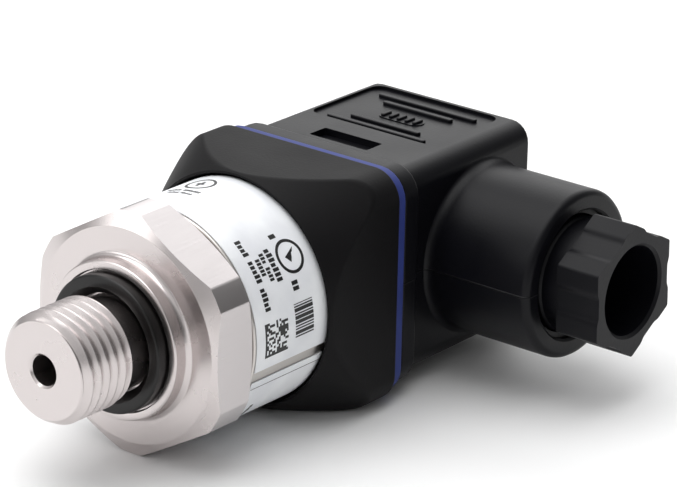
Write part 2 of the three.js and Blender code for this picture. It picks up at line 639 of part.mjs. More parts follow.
function glandBore() {
  const bore = GLAND_BORE;
  return turnedOnGland([
    [0, CAVITY.halfX - 1],
    [bore.passageR, CAVITY.halfX - 1],
    [bore.passageR, bore.seat],
    [bore.r, bore.seatBack],
    [bore.r, bore.mouth],
    [bore.mouthR, bore.mouth + 0.1],
    [bore.mouthR, BOSS.end + 1],
    [0, BOSS.end + 1],
  ], HIDDEN);
}

function capsule(halfLength, halfWidth) {
  return roundedRectangle(halfLength, halfWidth, halfWidth);
}

// Ribs and a plain badge in a shallow panel on the plug's upper face, and a small pocket in front of it.
function moulding(shell) {
  const floor = PLUG.halfZ - PANEL.depth;
  const panelShape = roundedRectangle(PANEL.halfX, (PANEL.y1 - PANEL.y0) / 2, PANEL.cornerR);
  const panelCut = prismAlongZ(panelShape, PANEL.x, (PANEL.y0 + PANEL.y1) / 2, floor, PLUG.halfZ + 1);
  const windowShape = roundedRectangle(WINDOW.halfX, (WINDOW.y1 - WINDOW.y0) / 2, 0.3);
  const windowFloor = PLUG.halfZ - WINDOW.depth;
  const windowCut = prismAlongZ(windowShape, WINDOW.x, (WINDOW.y0 + WINDOW.y1) / 2, windowFloor, PLUG.halfZ + 1);
  const ribs = RIB.rows.map((y, row) => {
    const outer = row === 0 || row === RIB.rows.length - 1;
    const shape = capsule(outer ? RIB.longHalf : RIB.shortHalf, RIB.halfWidth);
    return prismAlongZ(shape, RIB.x, y, floor - 0.3, floor + RIB.height, 0.12);
  });
  const badge = prismAlongZ(capsule(BADGE.halfX, BADGE.halfY), RIB.x, BADGE.y, floor - 0.3, floor + RIB.height, 0.12);
  return [...ribs, badge].reduce((shape, rib) => shape.add(rib), shell.subtract(panelCut).subtract(windowCut));
}

function plugHousing() {
  const outside = moulding(plugShell().add(glandBoss()));
  const cavityShape = roundedRectangle(CAVITY.halfX, CAVITY.halfZ, CAVITY.cornerR);
  const cavity = prismAlongY(cavityShape, PLUG.front - 1, CAVITY.back);
  const post = rod(POST.r, POST.front, CAVITY.back + 0.5);
  const screwHole = rod(POST.boreR, POST.front - 1, PLUG.back + 1);
  const headRecess = rod(HEAD_RECESS.r, HEAD_RECESS.floor, PLUG.back + 1);
  const hollow = outside.subtract(cavity).subtract(glandBore()).add(post);
  return hollow.subtract(screwHole).subtract(headRecess);
}

// ---------------------------------------------------------------- contact insert and terminals

function contactInsert() {
  const { halfX, halfZ, cornerR, front, back, centreR, wellFloor } = INSERT;
  const blank = prismAlongY(roundedRectangle(halfX, halfZ, cornerR), front, back);
  const halfWell = TERMINAL.halfWidth + 0.25;
  const wellStart = TERMINAL.screwX - M3.headR - 0.2;
  const well = block(wellStart, halfZ + 1, wellFloor, back + 1, -halfWell, halfWell);
  const socket = block(7.8, 10.2, TERMINAL.socketFront - 0.2, wellFloor + 1, -halfWell - 0.05, halfWell + 0.05);
  const barrel = rod(TERMINAL.barrelR + 0.15, 40.4, wellFloor + 1, BORE).translate([TERMINAL.screwX, 0, 0]);
  const pocket = well.add(socket).add(barrel).add(pinSlot(0.25, front - 1, TERMINAL.socketFront));
  const bored = blank.subtract(rod(centreR, front - 1, back + 1));
  return [0, 90, 180, 270].reduce((shape, turn) => shape.subtract(aboutAxis(pocket, turn)), bored);
}

// Screw terminal: a spring socket for the pin, a tongue for the wire, and a threaded barrel.
function terminal() {
  const { socketFront, tongue, tongueBack, halfWidth, wall, screwX, barrelR } = TERMINAL;
  const socketX0 = 7.95;
  const socketX1 = 10.05;
  const slotHalf = halfWidth + 0.05;
  const socket = block(socketX0, socketX1, socketFront, tongue + 0.1, -halfWidth - 0.15, halfWidth + 0.15);
  const slot = block(socketX0 + wall, socketX1 - wall, socketFront - 1, tongue - 0.5, -slotHalf, slotHalf);
  const plate = block(3.6, socketX1, tongue, tongueBack, -halfWidth, halfWidth);
  const barrel = rod(barrelR, 40.6, tongue + 0.5, BORE).translate([screwX, 0, 0]);
  const bore = rod(M3.r + 0.05, 40, tongueBack + 1, BORE).translate([screwX, 0, 0]);
  return socket.subtract(slot).add(plate).add(barrel).subtract(bore);
}

// Saddle plate under the screw head: two turned-down lips keep the strands in.
function terminalClamp() {
  const { x0, x1, halfWidth, front, back, lip } = TERMINAL_CLAMP;
  const plate = block(x0, x1, front, back, -halfWidth, halfWidth);
  const lowerLip = block(x0, x1, front - lip, front + 0.1, -halfWidth, 0.5 - halfWidth);
  const upperLip = block(x0, x1, front - lip, front + 0.1, halfWidth - 0.5, halfWidth);
  const hole = rod(M3.clearanceR, front - 1, back + 1, BORE).translate([TERMINAL.screwX, 0, 0]);
  return plate.add(lowerLip).add(upperLip).subtract(hole);
}

// Cheese-head screw on the device axis, head towards +Y.
function slottedScrew(front, head) {
  const top = head + M3.headHeight;
  const blank = turned([
    [0, front],
    [M3.r - 0.4, front],
    [M3.r, front + 0.4],
    [M3.r, head],
    [M3.headR, head],
    [M3.headR, top - 0.3],
    [M3.headR - 0.3, top],
    [0, top],
  ], 12);
  const half = M3.slot / 2;
  return blank.subtract(block(-4, 4, top - M3.slotDepth, top + 1, -half, half));
}

// ---------------------------------------------------------------- gland

function glandGrommet() {
  return turnedOnGland([
    [GROMMET.holeR + 0.5, GROMMET.front],
    [GROMMET.r, GROMMET.front],
    [GROMMET.r, GROMMET.back],
    [GROMMET.holeR + 0.8, GROMMET.back],
    [GROMMET.holeR, GROMMET.back - 1],
    [GROMMET.holeR, GROMMET.front + 0.7],
  ], HIDDEN);
}

function thrustWasher() {
  const { r, holeR, x0, x1 } = THRUST_WASHER;
  return turnedOnGland([[holeR, x0], [r, x0], [r, x1], [holeR, x1]], HIDDEN);
}

// Hollow gland nut: round shank, waisted neck, and a hexagon whose sides are relieved for grip.
function glandNut() {
  const nut = GLAND_NUT;
  const { turn, boreR, boreEdge, recessHalf, recessDepth } = NUT_GRIP;
  const headShape = hexagon(nut.acrossFlats, 30 + turn);
  const head = prismAlongX(headShape, nut.head, nut.end, 0.2).translate([0, GLAND_Y, 0]);
  const flat = nut.acrossFlats / 2;
  const relief = block(nut.head - 1, nut.end + 1, flat - recessDepth, flat + 1, -recessHalf, recessHalf);
  const sides = [0, 1, 2, 3, 4, 5].reduce((shape, side) => {
    const cut = relief.rotate([turn + 60 * side, 0, 0]).translate([0, GLAND_Y, 0]);
    return shape.subtract(cut);
  }, head);
  const shank = turnedOnGland([
    [0, nut.shank],
    [nut.shankR - 0.4, nut.shank],
    [nut.shankR, nut.shank + 0.4],
    [nut.shankR, nut.neck - 0.3],
    [nut.neckR, nut.neck],
    [nut.neckR, nut.head + 0.5],
    [0, nut.head + 0.5],
  ], HIDDEN);
  const bore = turnedOnGland([
    [0, nut.shank - 1],
    [boreR, nut.shank - 1],
    [boreR, nut.end - boreEdge],
    [boreR + boreEdge, nut.end],
    [boreR + boreEdge, nut.end + 1],
    [0, nut.end + 1],
  ], HIDDEN);
  return sides.add(shank).subtract(bore);
}

// ---------------------------------------------------------------- assembly

addPiece('process_connection', processConnection(), STAINLESS);
addPiece('port_seal_ring', portSealRing(), SEAL_RUBBER);
addPiece('case_sleeve', caseSleeve(), STAINLESS);
addPiece('nameplate_label', nameplateLabel(), LABEL_FOIL);

addPiece('diaphragm', diaphragm(), SEAL_RUBBER);
addPiece('diaphragm_clamp', diaphragmClamp(), BRASS);
addPiece('piston', piston(), STAINLESS);
addPiece('spring_plate', springPlate(), STAINLESS);
addPiece('range_spring', rangeSpring(), SPRING_STEEL);
addPiece('spring_cap', springCap(), STAINLESS);
addPiece('adjusting_screw', adjustingScrew(), BRASS);
addPiece('switch_carrier', switchCarrier(), PALE_PLASTIC);

addPiece('switch_cover', switchCover(), INNER_PLASTIC);
addPiece('switch_base', switchBase(), INNER_PLASTIC);
contactStripPlaces().forEach(({ name }, i) => addPiece(name, contactStrip(contactStripOutlines()[i]), TINNED));
addPiece('snap_blade', snapBlade(), BRASS);
addPiece('switch_plunger', switchPlunger(), RED_PLASTIC);

addPiece('adapter_housing', adapterHousing(), BLACK_POLYAMIDE);
addPiece('case_seal', caseSeal(), SEAL_RUBBER);
addPiece('threaded_insert', threadedInsert(), BRASS);
['contact_pin_1', 'contact_pin_3', 'contact_pin_2', 'earth_pin'].forEach((name, i) => {
  addPiece(name, aboutAxis(contactPin(), -90 * i), TINNED);
});
addPiece('earth_strap', earthStrap(), SPRING_STEEL);

const middleX = (SWITCH.x0 + SWITCH.x1) / 2;
const LEAD_R = 0.55;
const leadRoutes = {
  lead_common: [[middleX, 23.5, -5.45], [8, 24.8, -4.2], [8.1, 26, -1.8], [8, 27.4, 0]],
  lead_closed: [[middleX, 23.5, 5.3], [6.3, 24.8, 6.2], [3.2, 24.9, 7.6], [0, 25, 7.9], [-4.3, 25, 6.6],
    [-7.1, 25.6, 3.6], [-8, 27.4, 0]],
  lead_open: [[middleX, 23.5, 2.6], [7.3, 25.5, 3.4], [5.2, 26.7, 5.6], [2.4, 27.3, 7.3], [0, 27.6, 8]],
};
Object.entries(leadRoutes).forEach(([name, route], i) => {
  addPiece(name, wireAlong(route, LEAD_R, 3 * (route.length - 1)), LEAD_COLOURS[i]);
});

addPiece('flat_gasket', flatGasket(), BLUE_GASKET);
addPiece('plug_housing', plugHousing(), BLACK_POLYAMIDE);
addPiece('contact_insert', contactInsert(), INNER_PLASTIC);
['1', '3', '2', 'earth'].forEach((label, i) => {
  const place = (shape) => aboutAxis(shape, -90 * i);
  const screw = slottedScrew(TERMINAL_SCREW.front, TERMINAL_SCREW.head).translate([TERMINAL.screwX, 0, 0]);
  addPiece(`terminal_${label}`, place(terminal()), TINNED);
  addPiece(`terminal_clamp_${label}`, place(terminalClamp()), TINNED);
  addPiece(`terminal_screw_${label}`, place(screw), STAINLESS);
});
addPiece('fixing_screw', slottedScrew(FIXING_SCREW.front, FIXING_SCREW.head), STAINLESS);
addPiece('fixing_screw_seal', tube(SCREW_SEAL.boreR, SCREW_SEAL.r, SCREW_SEAL.front, SCREW_SEAL.back), SEAL_RUBBER);

addPiece('gland_grommet', glandGrommet(), SEAL_RUBBER);
addPiece('gland_washer', thrustWasher(), INNER_PLASTIC);
addPiece('gland_nut', glandNut(), BLACK_POLYAMIDE);

export default group;
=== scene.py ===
"""Pressure switch with a threaded process connection, a round steel case and a square angular plug.

The device axis is Y and the cable gland's axis is parallel to X. The ribbed face of the plug is up.
Lengths in the sections are millimetres, and MM turns them into Blender's metres.
"""

import math
import random

import bpy
from mathutils import Matrix, Vector


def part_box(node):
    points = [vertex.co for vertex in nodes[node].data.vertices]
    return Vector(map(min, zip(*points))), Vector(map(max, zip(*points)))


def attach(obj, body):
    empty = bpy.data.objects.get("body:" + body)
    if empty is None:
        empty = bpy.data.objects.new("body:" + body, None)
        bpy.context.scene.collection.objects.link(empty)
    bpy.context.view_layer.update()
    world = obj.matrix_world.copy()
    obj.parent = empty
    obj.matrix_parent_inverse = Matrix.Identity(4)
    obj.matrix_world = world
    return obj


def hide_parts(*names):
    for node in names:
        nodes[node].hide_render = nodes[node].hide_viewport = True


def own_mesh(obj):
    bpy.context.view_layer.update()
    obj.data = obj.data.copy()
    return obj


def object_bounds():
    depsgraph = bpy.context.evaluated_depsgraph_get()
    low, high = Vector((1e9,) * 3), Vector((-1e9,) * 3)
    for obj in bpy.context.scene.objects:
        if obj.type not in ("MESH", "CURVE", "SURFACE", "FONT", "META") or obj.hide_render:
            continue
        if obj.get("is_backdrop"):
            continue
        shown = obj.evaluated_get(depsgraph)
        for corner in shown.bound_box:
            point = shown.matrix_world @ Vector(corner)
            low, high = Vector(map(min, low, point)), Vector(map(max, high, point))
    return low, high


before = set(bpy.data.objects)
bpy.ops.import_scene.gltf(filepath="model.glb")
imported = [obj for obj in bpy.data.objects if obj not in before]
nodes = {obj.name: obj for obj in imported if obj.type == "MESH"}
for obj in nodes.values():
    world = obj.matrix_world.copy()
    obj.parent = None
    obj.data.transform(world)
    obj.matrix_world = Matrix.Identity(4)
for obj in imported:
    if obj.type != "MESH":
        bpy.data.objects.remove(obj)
cad_low, cad_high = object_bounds()
MM = 0.001


# ---------------------------------------------------------------- camera
# A long lens looks down on the stud's end from the gland's side, with the device axis running away
# to the upper right. The camera is rolled by about a degree.

CAMERA_AZIMUTH, CAMERA_ELEVATION, CAMERA_ROLL = 38.53, 21.11, 1.2
CAMERA_DISTANCE = 437.094
CAMERA_AIM = Vector((-0.595, 40.5, -0.196))

azimuth, elevation = math.radians(CAMERA_AZIMUTH), math.radians(CAMERA_ELEVATION)
towards_camera = Vector((
    math.sin(azimuth) * math.cos(elevation),
    -math.cos(azimuth) * math.cos(elevation),
    math.sin(elevation),
))
lens = bpy.data.cameras.new("camera")
lens.lens = 192.46
lens.sensor_width = 36
lens.clip_start, lens.clip_end = 0.01, 20
camera = bpy.data.objects.new("camera", lens)
bpy.context.scene.collection.objects.link(camera)
level = (-towards_camera).to_track_quat("-Z", "Y").to_matrix().to_4x4()
roll = Matrix.Rotation(math.radians(CAMERA_ROLL), 4, "Z")
camera.matrix_world = Matrix.Translation((CAMERA_AIM + CAMERA_DISTANCE * towards_camera) * MM) @ level @ roll
bpy.context.scene.camera = camera


# ---------------------------------------------------------------- table and light
# The switch lies on a white lacquered studio table. Wide soft lights hang above and behind it, a smaller
# one stands on the stud's side, and the white room fills in the rest but for a grey flag at +X.

TABLE_SIZE = 6000
TABLE_GAP = 0.02
ROOM_STRENGTH = 0.8
FLAG_SIDE = (0.97, 0.25, 0.0)


def linear(code):
    """An sRGB hex colour as the linear RGBA that a shader takes."""
    parts = [int(code[i:i + 2], 16) / 255 for i in (1, 3, 5)]
    return [p / 12.92 if p <= 0.04045 else ((p + 0.055) / 1.055) ** 2.4 for p in parts] + [1]


def principled(name, sockets):
    """A new material whose Principled shader has these socket values."""
    material = bpy.data.materials.new(name)
    material.use_nodes = True
    for socket, value in sockets.items():
        material.node_tree.nodes["Principled BSDF"].inputs[socket].default_value = value
    return material


def add(tree, kind, inputs, **settings):
    """Adds a shader node. An input takes a value, or another node's output socket to link."""
    node = tree.nodes.new("ShaderNode" + kind)
    for name, value in settings.items():
        setattr(node, name, value)
    for socket, value in inputs.items():
        if isinstance(value, bpy.types.NodeSocket):
            tree.links.new(value, node.inputs[socket])
        else:
            node.inputs[socket].default_value = value
    return node


bpy.context.scene.view_settings.view_transform = "Standard"

bpy.ops.mesh.primitive_plane_add(size=TABLE_SIZE * MM, location=(0, 0, cad_low.z - TABLE_GAP * MM))
table = bpy.context.object
table.name = "table_top"
table.data.materials.append(principled("white_lacquer", {"Base Color": linear("#f4f4f4"), "Roughness": 0.6}))
table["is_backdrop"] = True

room = bpy.data.worlds.new("white_room")
bpy.context.scene.world = room
room.use_nodes = True
direction = add(room.node_tree, "TexCoord", {}).outputs["Generated"]
height = add(room.node_tree, "SeparateXYZ", {"Vector": direction}).outputs["Z"]
walls = add(room.node_tree, "ValToRGB", {"Fac": height})
for stop, position, code in zip(walls.color_ramp.elements, (0.0, 0.6), ("#b4b4b4", "#ffffff")):
    stop.position, stop.color = position, linear(code)
towards_flag = add(room.node_tree, "VectorMath", {0: direction, 1: FLAG_SIDE}, operation="DOT_PRODUCT")
flag = add(room.node_tree, "ValToRGB", {"Fac": towards_flag.outputs["Value"]})
for stop, position, code in zip(flag.color_ramp.elements, (0.35, 0.75), ("#ffffff", "#8a8a8a")):
    stop.position, stop.color = position, linear(code)
light = add(room.node_tree, "VectorMath", {
    0: walls.outputs["Color"], 1: flag.outputs["Color"],
}, operation="MULTIPLY")
room.node_tree.links.new(light.outputs["Vector"], room.node_tree.nodes["Background"].inputs["Color"])
room.node_tree.nodes["Background"].inputs["Strength"].default_value = ROOM_STRENGTH

for name, spot, aim, size, watts in (
    ("ceiling_softbox", (-120, -60, 700), (0, 25, 0), 800, 4.2),
    ("back_softbox", (-315, 725, 450), (0, 40, 0), 700, 2.0),
    ("stud_side_softbox", (-450, -550, 260), (0, 10, 0), 350, 0.7),
):
    lamp = bpy.data.lights.new(name, "AREA")
    lamp.size = size * MM
    lamp.energy = watts
    softbox = bpy.data.objects.new(name, lamp)
    bpy.context.scene.collection.objects.link(softbox)
    turn = (Vector(spot) - Vector(aim)).to_track_quat("Z", "Y").to_matrix().to_4x4()
    softbox.matrix_world = Matrix.Translation(Vector(spot) * MM) @ turn


# ---------------------------------------------------------------- process connection
# One stainless steel bar part: a G 1/4 stud with a pressure bore, a collar that holds the seal ring,
# and a 27 mm hexagon that keeps its drawn flats. Everything else on it is turned.

STUD_END, RELIEF_START, NECK_START = -12, -4.6, -3.2
THREAD_R, ROOT_R, RELIEF_R, BORE_R = 6.58, 5.72, 5.6, 1.8
THREAD_PITCH, THREAD_ROUNDING, THREAD_TURNS = 1.337, 0.18, 9
COLLAR_R, COLLAR_FRONT, RECESS_R = 9.45, -0.6, 8.45
HEX_FRONT, HEX_BACK, HEX_FLAT, HEX_CORNER_R, HEX_FACE_R, HEX_CHAMFER = 1.5, 8, 13.5, 14.73, 12.9, 0.85
SPIGOT_R, SPIGOT_BACK, POCKET_R, POCKET_FLOOR = 12.65, 11.5, 10, 2.6
CHAMBER_R, CHAMBER_FLOOR = 6.5, 1.9
FLATS_OUTSIDE_R = 13.2
STEPS, MERGE_DISTANCE = 144, 0.002


def rounded(corners, steps=4):
    """An outline's corners as points. A corner's third number is the radius that rounds it."""
    points = []
    for i, corner in enumerate(corners):
        here = Vector(corner[:2])
        if len(corner) == 2:
            points.append(here)
            continue
        back = (Vector(corners[i - 1][:2]) - here).normalized()
        ahead = (Vector(corners[(i + 1) % len(corners)][:2]) - here).normalized()
        half = back.angle(ahead) / 2
        centre = here + (back + ahead).normalized() * corner[2] / math.sin(half)
        reach = corner[2] / math.tan(half)
        first, last = here + back * reach - centre, here + ahead * reach - centre
        points += [centre + first.slerp(last, k / steps).normalized() * corner[2] for k in range(steps + 1)]
    return points


def drawn(name, points, closed=True):
    """A wire outline of (distance along +Z, height along +Y) points, started from a circle."""
    bpy.ops.object.select_all(action="DESELECT")
    bpy.ops.mesh.primitive_circle_add(vertices=len(points), enter_editmode=False)
    piece = bpy.context.object
    piece.name = name
    for vertex, (out, up) in zip(piece.data.vertices, points):
        vertex.co = Vector((0, up, out)) * MM
    if not closed:
        for part in (*piece.data.vertices, *piece.data.edges):
            part.select = False
        piece.data.edges[-1].select = True
        bpy.context.tool_settings.mesh_select_mode = (False, True, False)
        bpy.ops.object.mode_set(mode="EDIT")
        bpy.ops.mesh.delete(type="EDGE")
        bpy.ops.object.mode_set(mode="OBJECT")
        bpy.context.tool_settings.mesh_select_mode = (True, False, False)
    return piece


def turned(name, outline, steps=STEPS):
    """Lathe work: a half outline of (radius, height) corners, spun about the device axis."""
    piece = drawn(name, rounded(outline), closed=outline[0][0] > 0)
    bpy.ops.object.mode_set(mode="EDIT")
    bpy.ops.mesh.select_all(action="SELECT")
    bpy.ops.mesh.spin(steps=steps, angle=2 * math.pi, center=(0, 0, 0), axis=(0, 1, 0))
    bpy.ops.mesh.select_all(action="SELECT")
    bpy.ops.mesh.remove_doubles(threshold=MERGE_DISTANCE * MM)
    bpy.ops.mesh.normals_make_consistent(inside=False)
    bpy.ops.object.mode_set(mode="OBJECT")
    return piece


def applied(piece, kind, **settings):
    """Gives the piece one modifier with these settings and applies it."""
    bpy.ops.object.select_all(action="DESELECT")
    bpy.context.view_layer.objects.active = piece
    piece.select_set(True)
    modifier = piece.modifiers.new(kind.lower(), kind)
    for name, value in settings.items():
        setattr(modifier, name, value)
    bpy.ops.object.modifier_apply(modifier=modifier.name)
    return piece


def machined(piece, tool, operation="DIFFERENCE"):
    """Cuts the piece with a tool body, or joins or trims it by one, and throws the tool away."""
    applied(piece, "BOOLEAN", operation=operation, object=tool, solver="EXACT")
    bpy.data.objects.remove(tool)
    return piece


def threaded(form, pitch, turns, steps):
    """Winds a thread's form up the device axis and closes both ends of the rod that it makes."""
    rise = pitch * MM
    applied(form, "SCREW", axis="Y", screw_offset=rise, iterations=turns, steps=steps, render_steps=steps)
    bpy.ops.object.mode_set(mode="EDIT")
    bpy.ops.mesh.select_all(action="SELECT")
    bpy.ops.mesh.remove_doubles(threshold=MERGE_DISTANCE * MM)
    bpy.ops.mesh.fill_holes(sides=0)
    bpy.ops.mesh.select_all(action="SELECT")
    bpy.ops.mesh.normals_make_consistent(inside=False)
    bpy.ops.object.mode_set(mode="OBJECT")
    return form


def fitted(piece, material, slot, body, *stands_for, smooth=30):
    """Finishes a piece: its material, smooth shading up to an edge angle, its body and its CAD nodes."""
    bpy.ops.object.select_all(action="DESELECT")
    bpy.context.view_layer.objects.active = piece
    piece.select_set(True)
    piece.data.materials.append(material)
    bpy.ops.object.shade_smooth_by_angle(angle=math.radians(smooth))
    applied(piece, "WEIGHTED_NORMAL", keep_sharp=True)
    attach(piece, body)
    if stands_for:
        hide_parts(*stands_for)
    return piece


# Whitworth form: 55 degree flanks whose sharp corners are rounded at crest and root. The threaded rod
# runs past both ends of the stud's blank, which trims it to the chamfer and the relief.
sharp, quarter = THREAD_PITCH * 0.16, THREAD_PITCH / 4
thread_form = rounded([
    ((ROOT_R + THREAD_R) / 2, -quarter),
    (ROOT_R - sharp, 0, THREAD_ROUNDING),
    (THREAD_R + sharp, 2 * quarter, THREAD_ROUNDING),
    ((ROOT_R + THREAD_R) / 2, 3 * quarter),
], steps=3)
rod = drawn("threaded_rod", [(r, STUD_END - THREAD_PITCH + y) for r, y in thread_form], closed=False)
threaded(rod, THREAD_PITCH, THREAD_TURNS, STEPS)

stud = turned("stud_blank", [
    (0, STUD_END),
    (THREAD_R - 0.82, STUD_END, 0.12),
    (THREAD_R + 0.3, STUD_END + 1.12),
    (THREAD_R + 0.3, RELIEF_START - 0.3),
    (RELIEF_R, RELIEF_START + THREAD_R - RELIEF_R, 0.2),
    (RELIEF_R, NECK_START + 0.2),
    (0, NECK_START + 0.2),
])
machined(stud, rod, "INTERSECT")

body = turned("process_connection_steel", [
    (0, NECK_START),
    (RELIEF_R - 0.01, NECK_START),
    (RELIEF_R - 0.01, 0),
    (RECESS_R, 0, 0.1),
    (RECESS_R, COLLAR_FRONT, 0.08),
    (COLLAR_R, COLLAR_FRONT, 0.22),
    (COLLAR_R, HEX_FRONT, 0.7),
    (HEX_FACE_R, HEX_FRONT, 0.1),
    (HEX_CORNER_R, HEX_FRONT + HEX_CHAMFER),
    (HEX_CORNER_R, HEX_BACK - HEX_CHAMFER),
    (HEX_FACE_R, HEX_BACK),
    (SPIGOT_R, HEX_BACK),
    (SPIGOT_R, SPIGOT_BACK, 0.2),
    (POCKET_R, SPIGOT_BACK),
    (POCKET_R, POCKET_FLOOR),
    (CHAMBER_R, POCKET_FLOOR),
    (CHAMBER_R, CHAMBER_FLOOR),
    (0, CHAMBER_FLOOR),
])
bpy.ops.mesh.primitive_cylinder_add(vertices=6, radius=HEX_FLAT / math.cos(math.pi / 6) * MM, depth=40 * MM,
                                    rotation=(math.pi / 2, 0, 0))
hexagon = bpy.context.object
bpy.ops.object.transform_apply(location=True, rotation=True, scale=True)
machined(body, hexagon, "INTERSECT")
machined(body, stud, "UNION")
bore = turned("pressure_bore", [
    (0, STUD_END - 1),
    (BORE_R + 1.25, STUD_END - 1),
    (BORE_R, STUD_END + 0.25),
    (BORE_R, POCKET_FLOOR + 1),
    (0, POCKET_FLOOR + 1),
], steps=64)
machined(body, bore)

# Turned stainless steel 1.4305: a satin metal whose feed marks run round on faces and shoulders alike.
# The real feed is about 0.1 mm and is drawn at 0.3 mm so that it shows.
FEED = 0.3
stainless_turned = principled("stainless_steel_turned", {
    "Base Color": linear("#cec7c6"), "Metallic": 1.0, "Roughness": 0.24,
})
tree = stainless_turned.node_tree
place = add(tree, "SeparateXYZ", {"Vector": add(tree, "TexCoord", {}).outputs["Object"]})
across = add(tree, "CombineXYZ", {"X": place.outputs["X"], "Y": place.outputs["Z"]})
radius = add(tree, "VectorMath", {0: across.outputs["Vector"]}, operation="LENGTH")
feed_place = add(tree, "CombineXYZ", {"X": radius.outputs["Value"], "Y": place.outputs["Y"]})
feed = add(tree, "TexNoise", {
    "Vector": feed_place.outputs["Vector"], "Scale": 1 / (FEED * MM), "Detail": 2.0, "Roughness": 0.6,
})
smear = add(tree, "TexNoise", {
    "Vector": add(tree, "TexCoord", {}).outputs["Object"], "Scale": 1 / (4 * MM), "Detail": 3.0,
})
feed_relief = add(tree, "Bump", {"Height": feed.outputs["Fac"], "Strength": 0.25, "Distance": 0.01 * MM})
gloss = add(tree, "MapRange", {"Value": smear.outputs["Fac"], "To Min": 0.2, "To Max": 0.32})
shader = tree.nodes["Principled BSDF"]
tree.links.new(feed_relief.outputs["Normal"], shader.inputs["Normal"])
tree.links.new(gloss.outputs["Result"], shader.inputs["Roughness"])


def streaked(name, code, grain, rough_low, rough_high, relief):
    """A metal with drawing marks: noise cells of these three sizes in mm, stretched along the marks."""
    material = principled(name, {"Base Color": linear(code), "Metallic": 1.0, "Roughness": rough_low})
    tree = material.node_tree
    stretch = add(tree, "Mapping", {
        "Vector": add(tree, "TexCoord", {}).outputs["Object"], "Scale": [1 / (size * MM) for size in grain],
    })
    marks = add(tree, "TexNoise", {"Vector": stretch.outputs["Vector"], "Scale": 1.0, "Detail": 3.0})
    gloss = add(tree, "MapRange", {"Value": marks.outputs["Fac"], "To Min": rough_low, "To Max": rough_high})
    marks_relief = add(tree, "Bump", {
        "Height": marks.outputs["Fac"], "Strength": relief, "Distance": 0.01 * MM,
    })
    shader = tree.nodes["Principled BSDF"]
    tree.links.new(gloss.outputs["Result"], shader.inputs["Roughness"])
    tree.links.new(marks_relief.outputs["Normal"], shader.inputs["Normal"])
    return material


# Cold drawn stainless steel on the hexagon's flats: drawing marks along the bar, duller than the turning.
stainless_drawn = streaked("stainless_steel_drawn_bar", "#cbc6c6", (0.3, 5, 0.3), 0.22, 0.4, 0.8)
fitted(body, stainless_turned, "stainless_steel", "device", "process_connection")
body.data.materials.append(stainless_drawn)
for face in body.data.polygons:
    out = math.hypot(face.center.x, face.center.z)
    face.material_index = int(out > FLATS_OUTSIDE_R * MM and abs(face.normal.y) < 0.05)


# ---------------------------------------------------------------- seal ring
# A profile seal of black nitrile rubber, moulded with a cone inside its front so that it grips the
# stud's relief. It lies in the collar's recess and stands out of it.

RING_R, RING_FRONT, RING_MOUTH_R, RING_THROAT_R, RING_THROAT = 8.2, -2.1, 6.85, 5.85, -1


def moulded(name, code, roughness, grain, relief, **sockets):
    """A rubber or plastic skin: a relief of this grain in mm, and a tint and gloss that drift slowly."""
    material = principled(name, {"Roughness": roughness, **sockets})
    tree = material.node_tree
    place = add(tree, "TexCoord", {}).outputs["Object"]
    grains = add(tree, "TexNoise", {"Vector": place, "Scale": 1 / (grain * MM), "Detail": 2.0})
    drift = add(tree, "TexNoise", {"Vector": place, "Scale": 1 / (7 * MM), "Detail": 4.0})
    tint = add(tree, "ValToRGB", {"Fac": drift.outputs["Fac"]})
    colour = linear(code)
    for stop, position, shade in zip(tint.color_ramp.elements, (0.3, 0.7), (0.9, 1.1)):
        stop.position = position
        stop.color = [min(1, part * shade) for part in colour[:3]] + [1]
    gloss = add(tree, "MapRange", {
        "Value": drift.outputs["Fac"], "To Min": roughness - 0.06, "To Max": roughness + 0.06,
    })
    skin = add(tree, "Bump", {"Height": grains.outputs["Fac"], "Strength": relief, "Distance": 0.03 * MM})
    shader = tree.nodes["Principled BSDF"]
    tree.links.new(tint.outputs["Color"], shader.inputs["Base Color"])
    tree.links.new(gloss.outputs["Result"], shader.inputs["Roughness"])
    tree.links.new(skin.outputs["Normal"], shader.inputs["Normal"])
    return material


# Nitrile rubber, black and smooth off the mould, with a soft sheen.
nitrile = moulded("nitrile_rubber_black", "#0e0c0c", 0.3, 0.25, 0.15, IOR=1.4)
seal_ring = turned("port_seal_ring_moulded", [
    (RING_THROAT_R, 0, 0.1),
    (RING_R, 0, 0.15),
    (RING_R, RING_FRONT, 0.3),
    (RING_MOUTH_R, RING_FRONT, 0.15),
    (RING_THROAT_R, RING_THROAT, 0.1),
])
fitted(seal_ring, nitrile, "seal_rubber", "device", "port_seal_ring")


# ---------------------------------------------------------------- case and nameplate
# A stainless steel tube rolled onto the connection's spigot, and a white foil nameplate glued round it
# with a gap at its ends. Its print is generic: dashes for words, a gauge ring, bars and a cell block.
# A hairline in the same ink close to one end of the label is painted shadow of that end's edge, not print.

CASE_R, CASE_INNER_R, CASE_FRONT, CASE_BACK = 13.5, 12.7, 8.1, 29
LABEL_INNER_R, LABEL_R, LABEL_FRONT, LABEL_BACK = 13.53, 13.65, 8.45, 20.9
LABEL_GAP = (-19, -13)
INK_THICKNESS, INK_STEP = 0.02, 0.6
CELLS, CELLS_FROM, CELLS_FRONT, CELL_TURN, CELL_HEIGHT = 14, -7, 9.9, 1.22, 0.286
SHARP_EDGE = math.radians(50)

# Ground stainless tube: fine lines round the case.
stainless_ground = streaked("stainless_steel_ground_tube", "#c9c5c1", (5, 0.25, 5), 0.26, 0.36, 0.3)
case = turned("case_sleeve_tube", [
    (CASE_INNER_R, CASE_FRONT, 0.1),
    (CASE_R, CASE_FRONT, 0.25),
    (CASE_R, CASE_BACK, 0.25),
    (CASE_INNER_R, CASE_BACK, 0.1),
])
fitted(case, stainless_ground, "stainless_steel", "device", "case_sleeve")


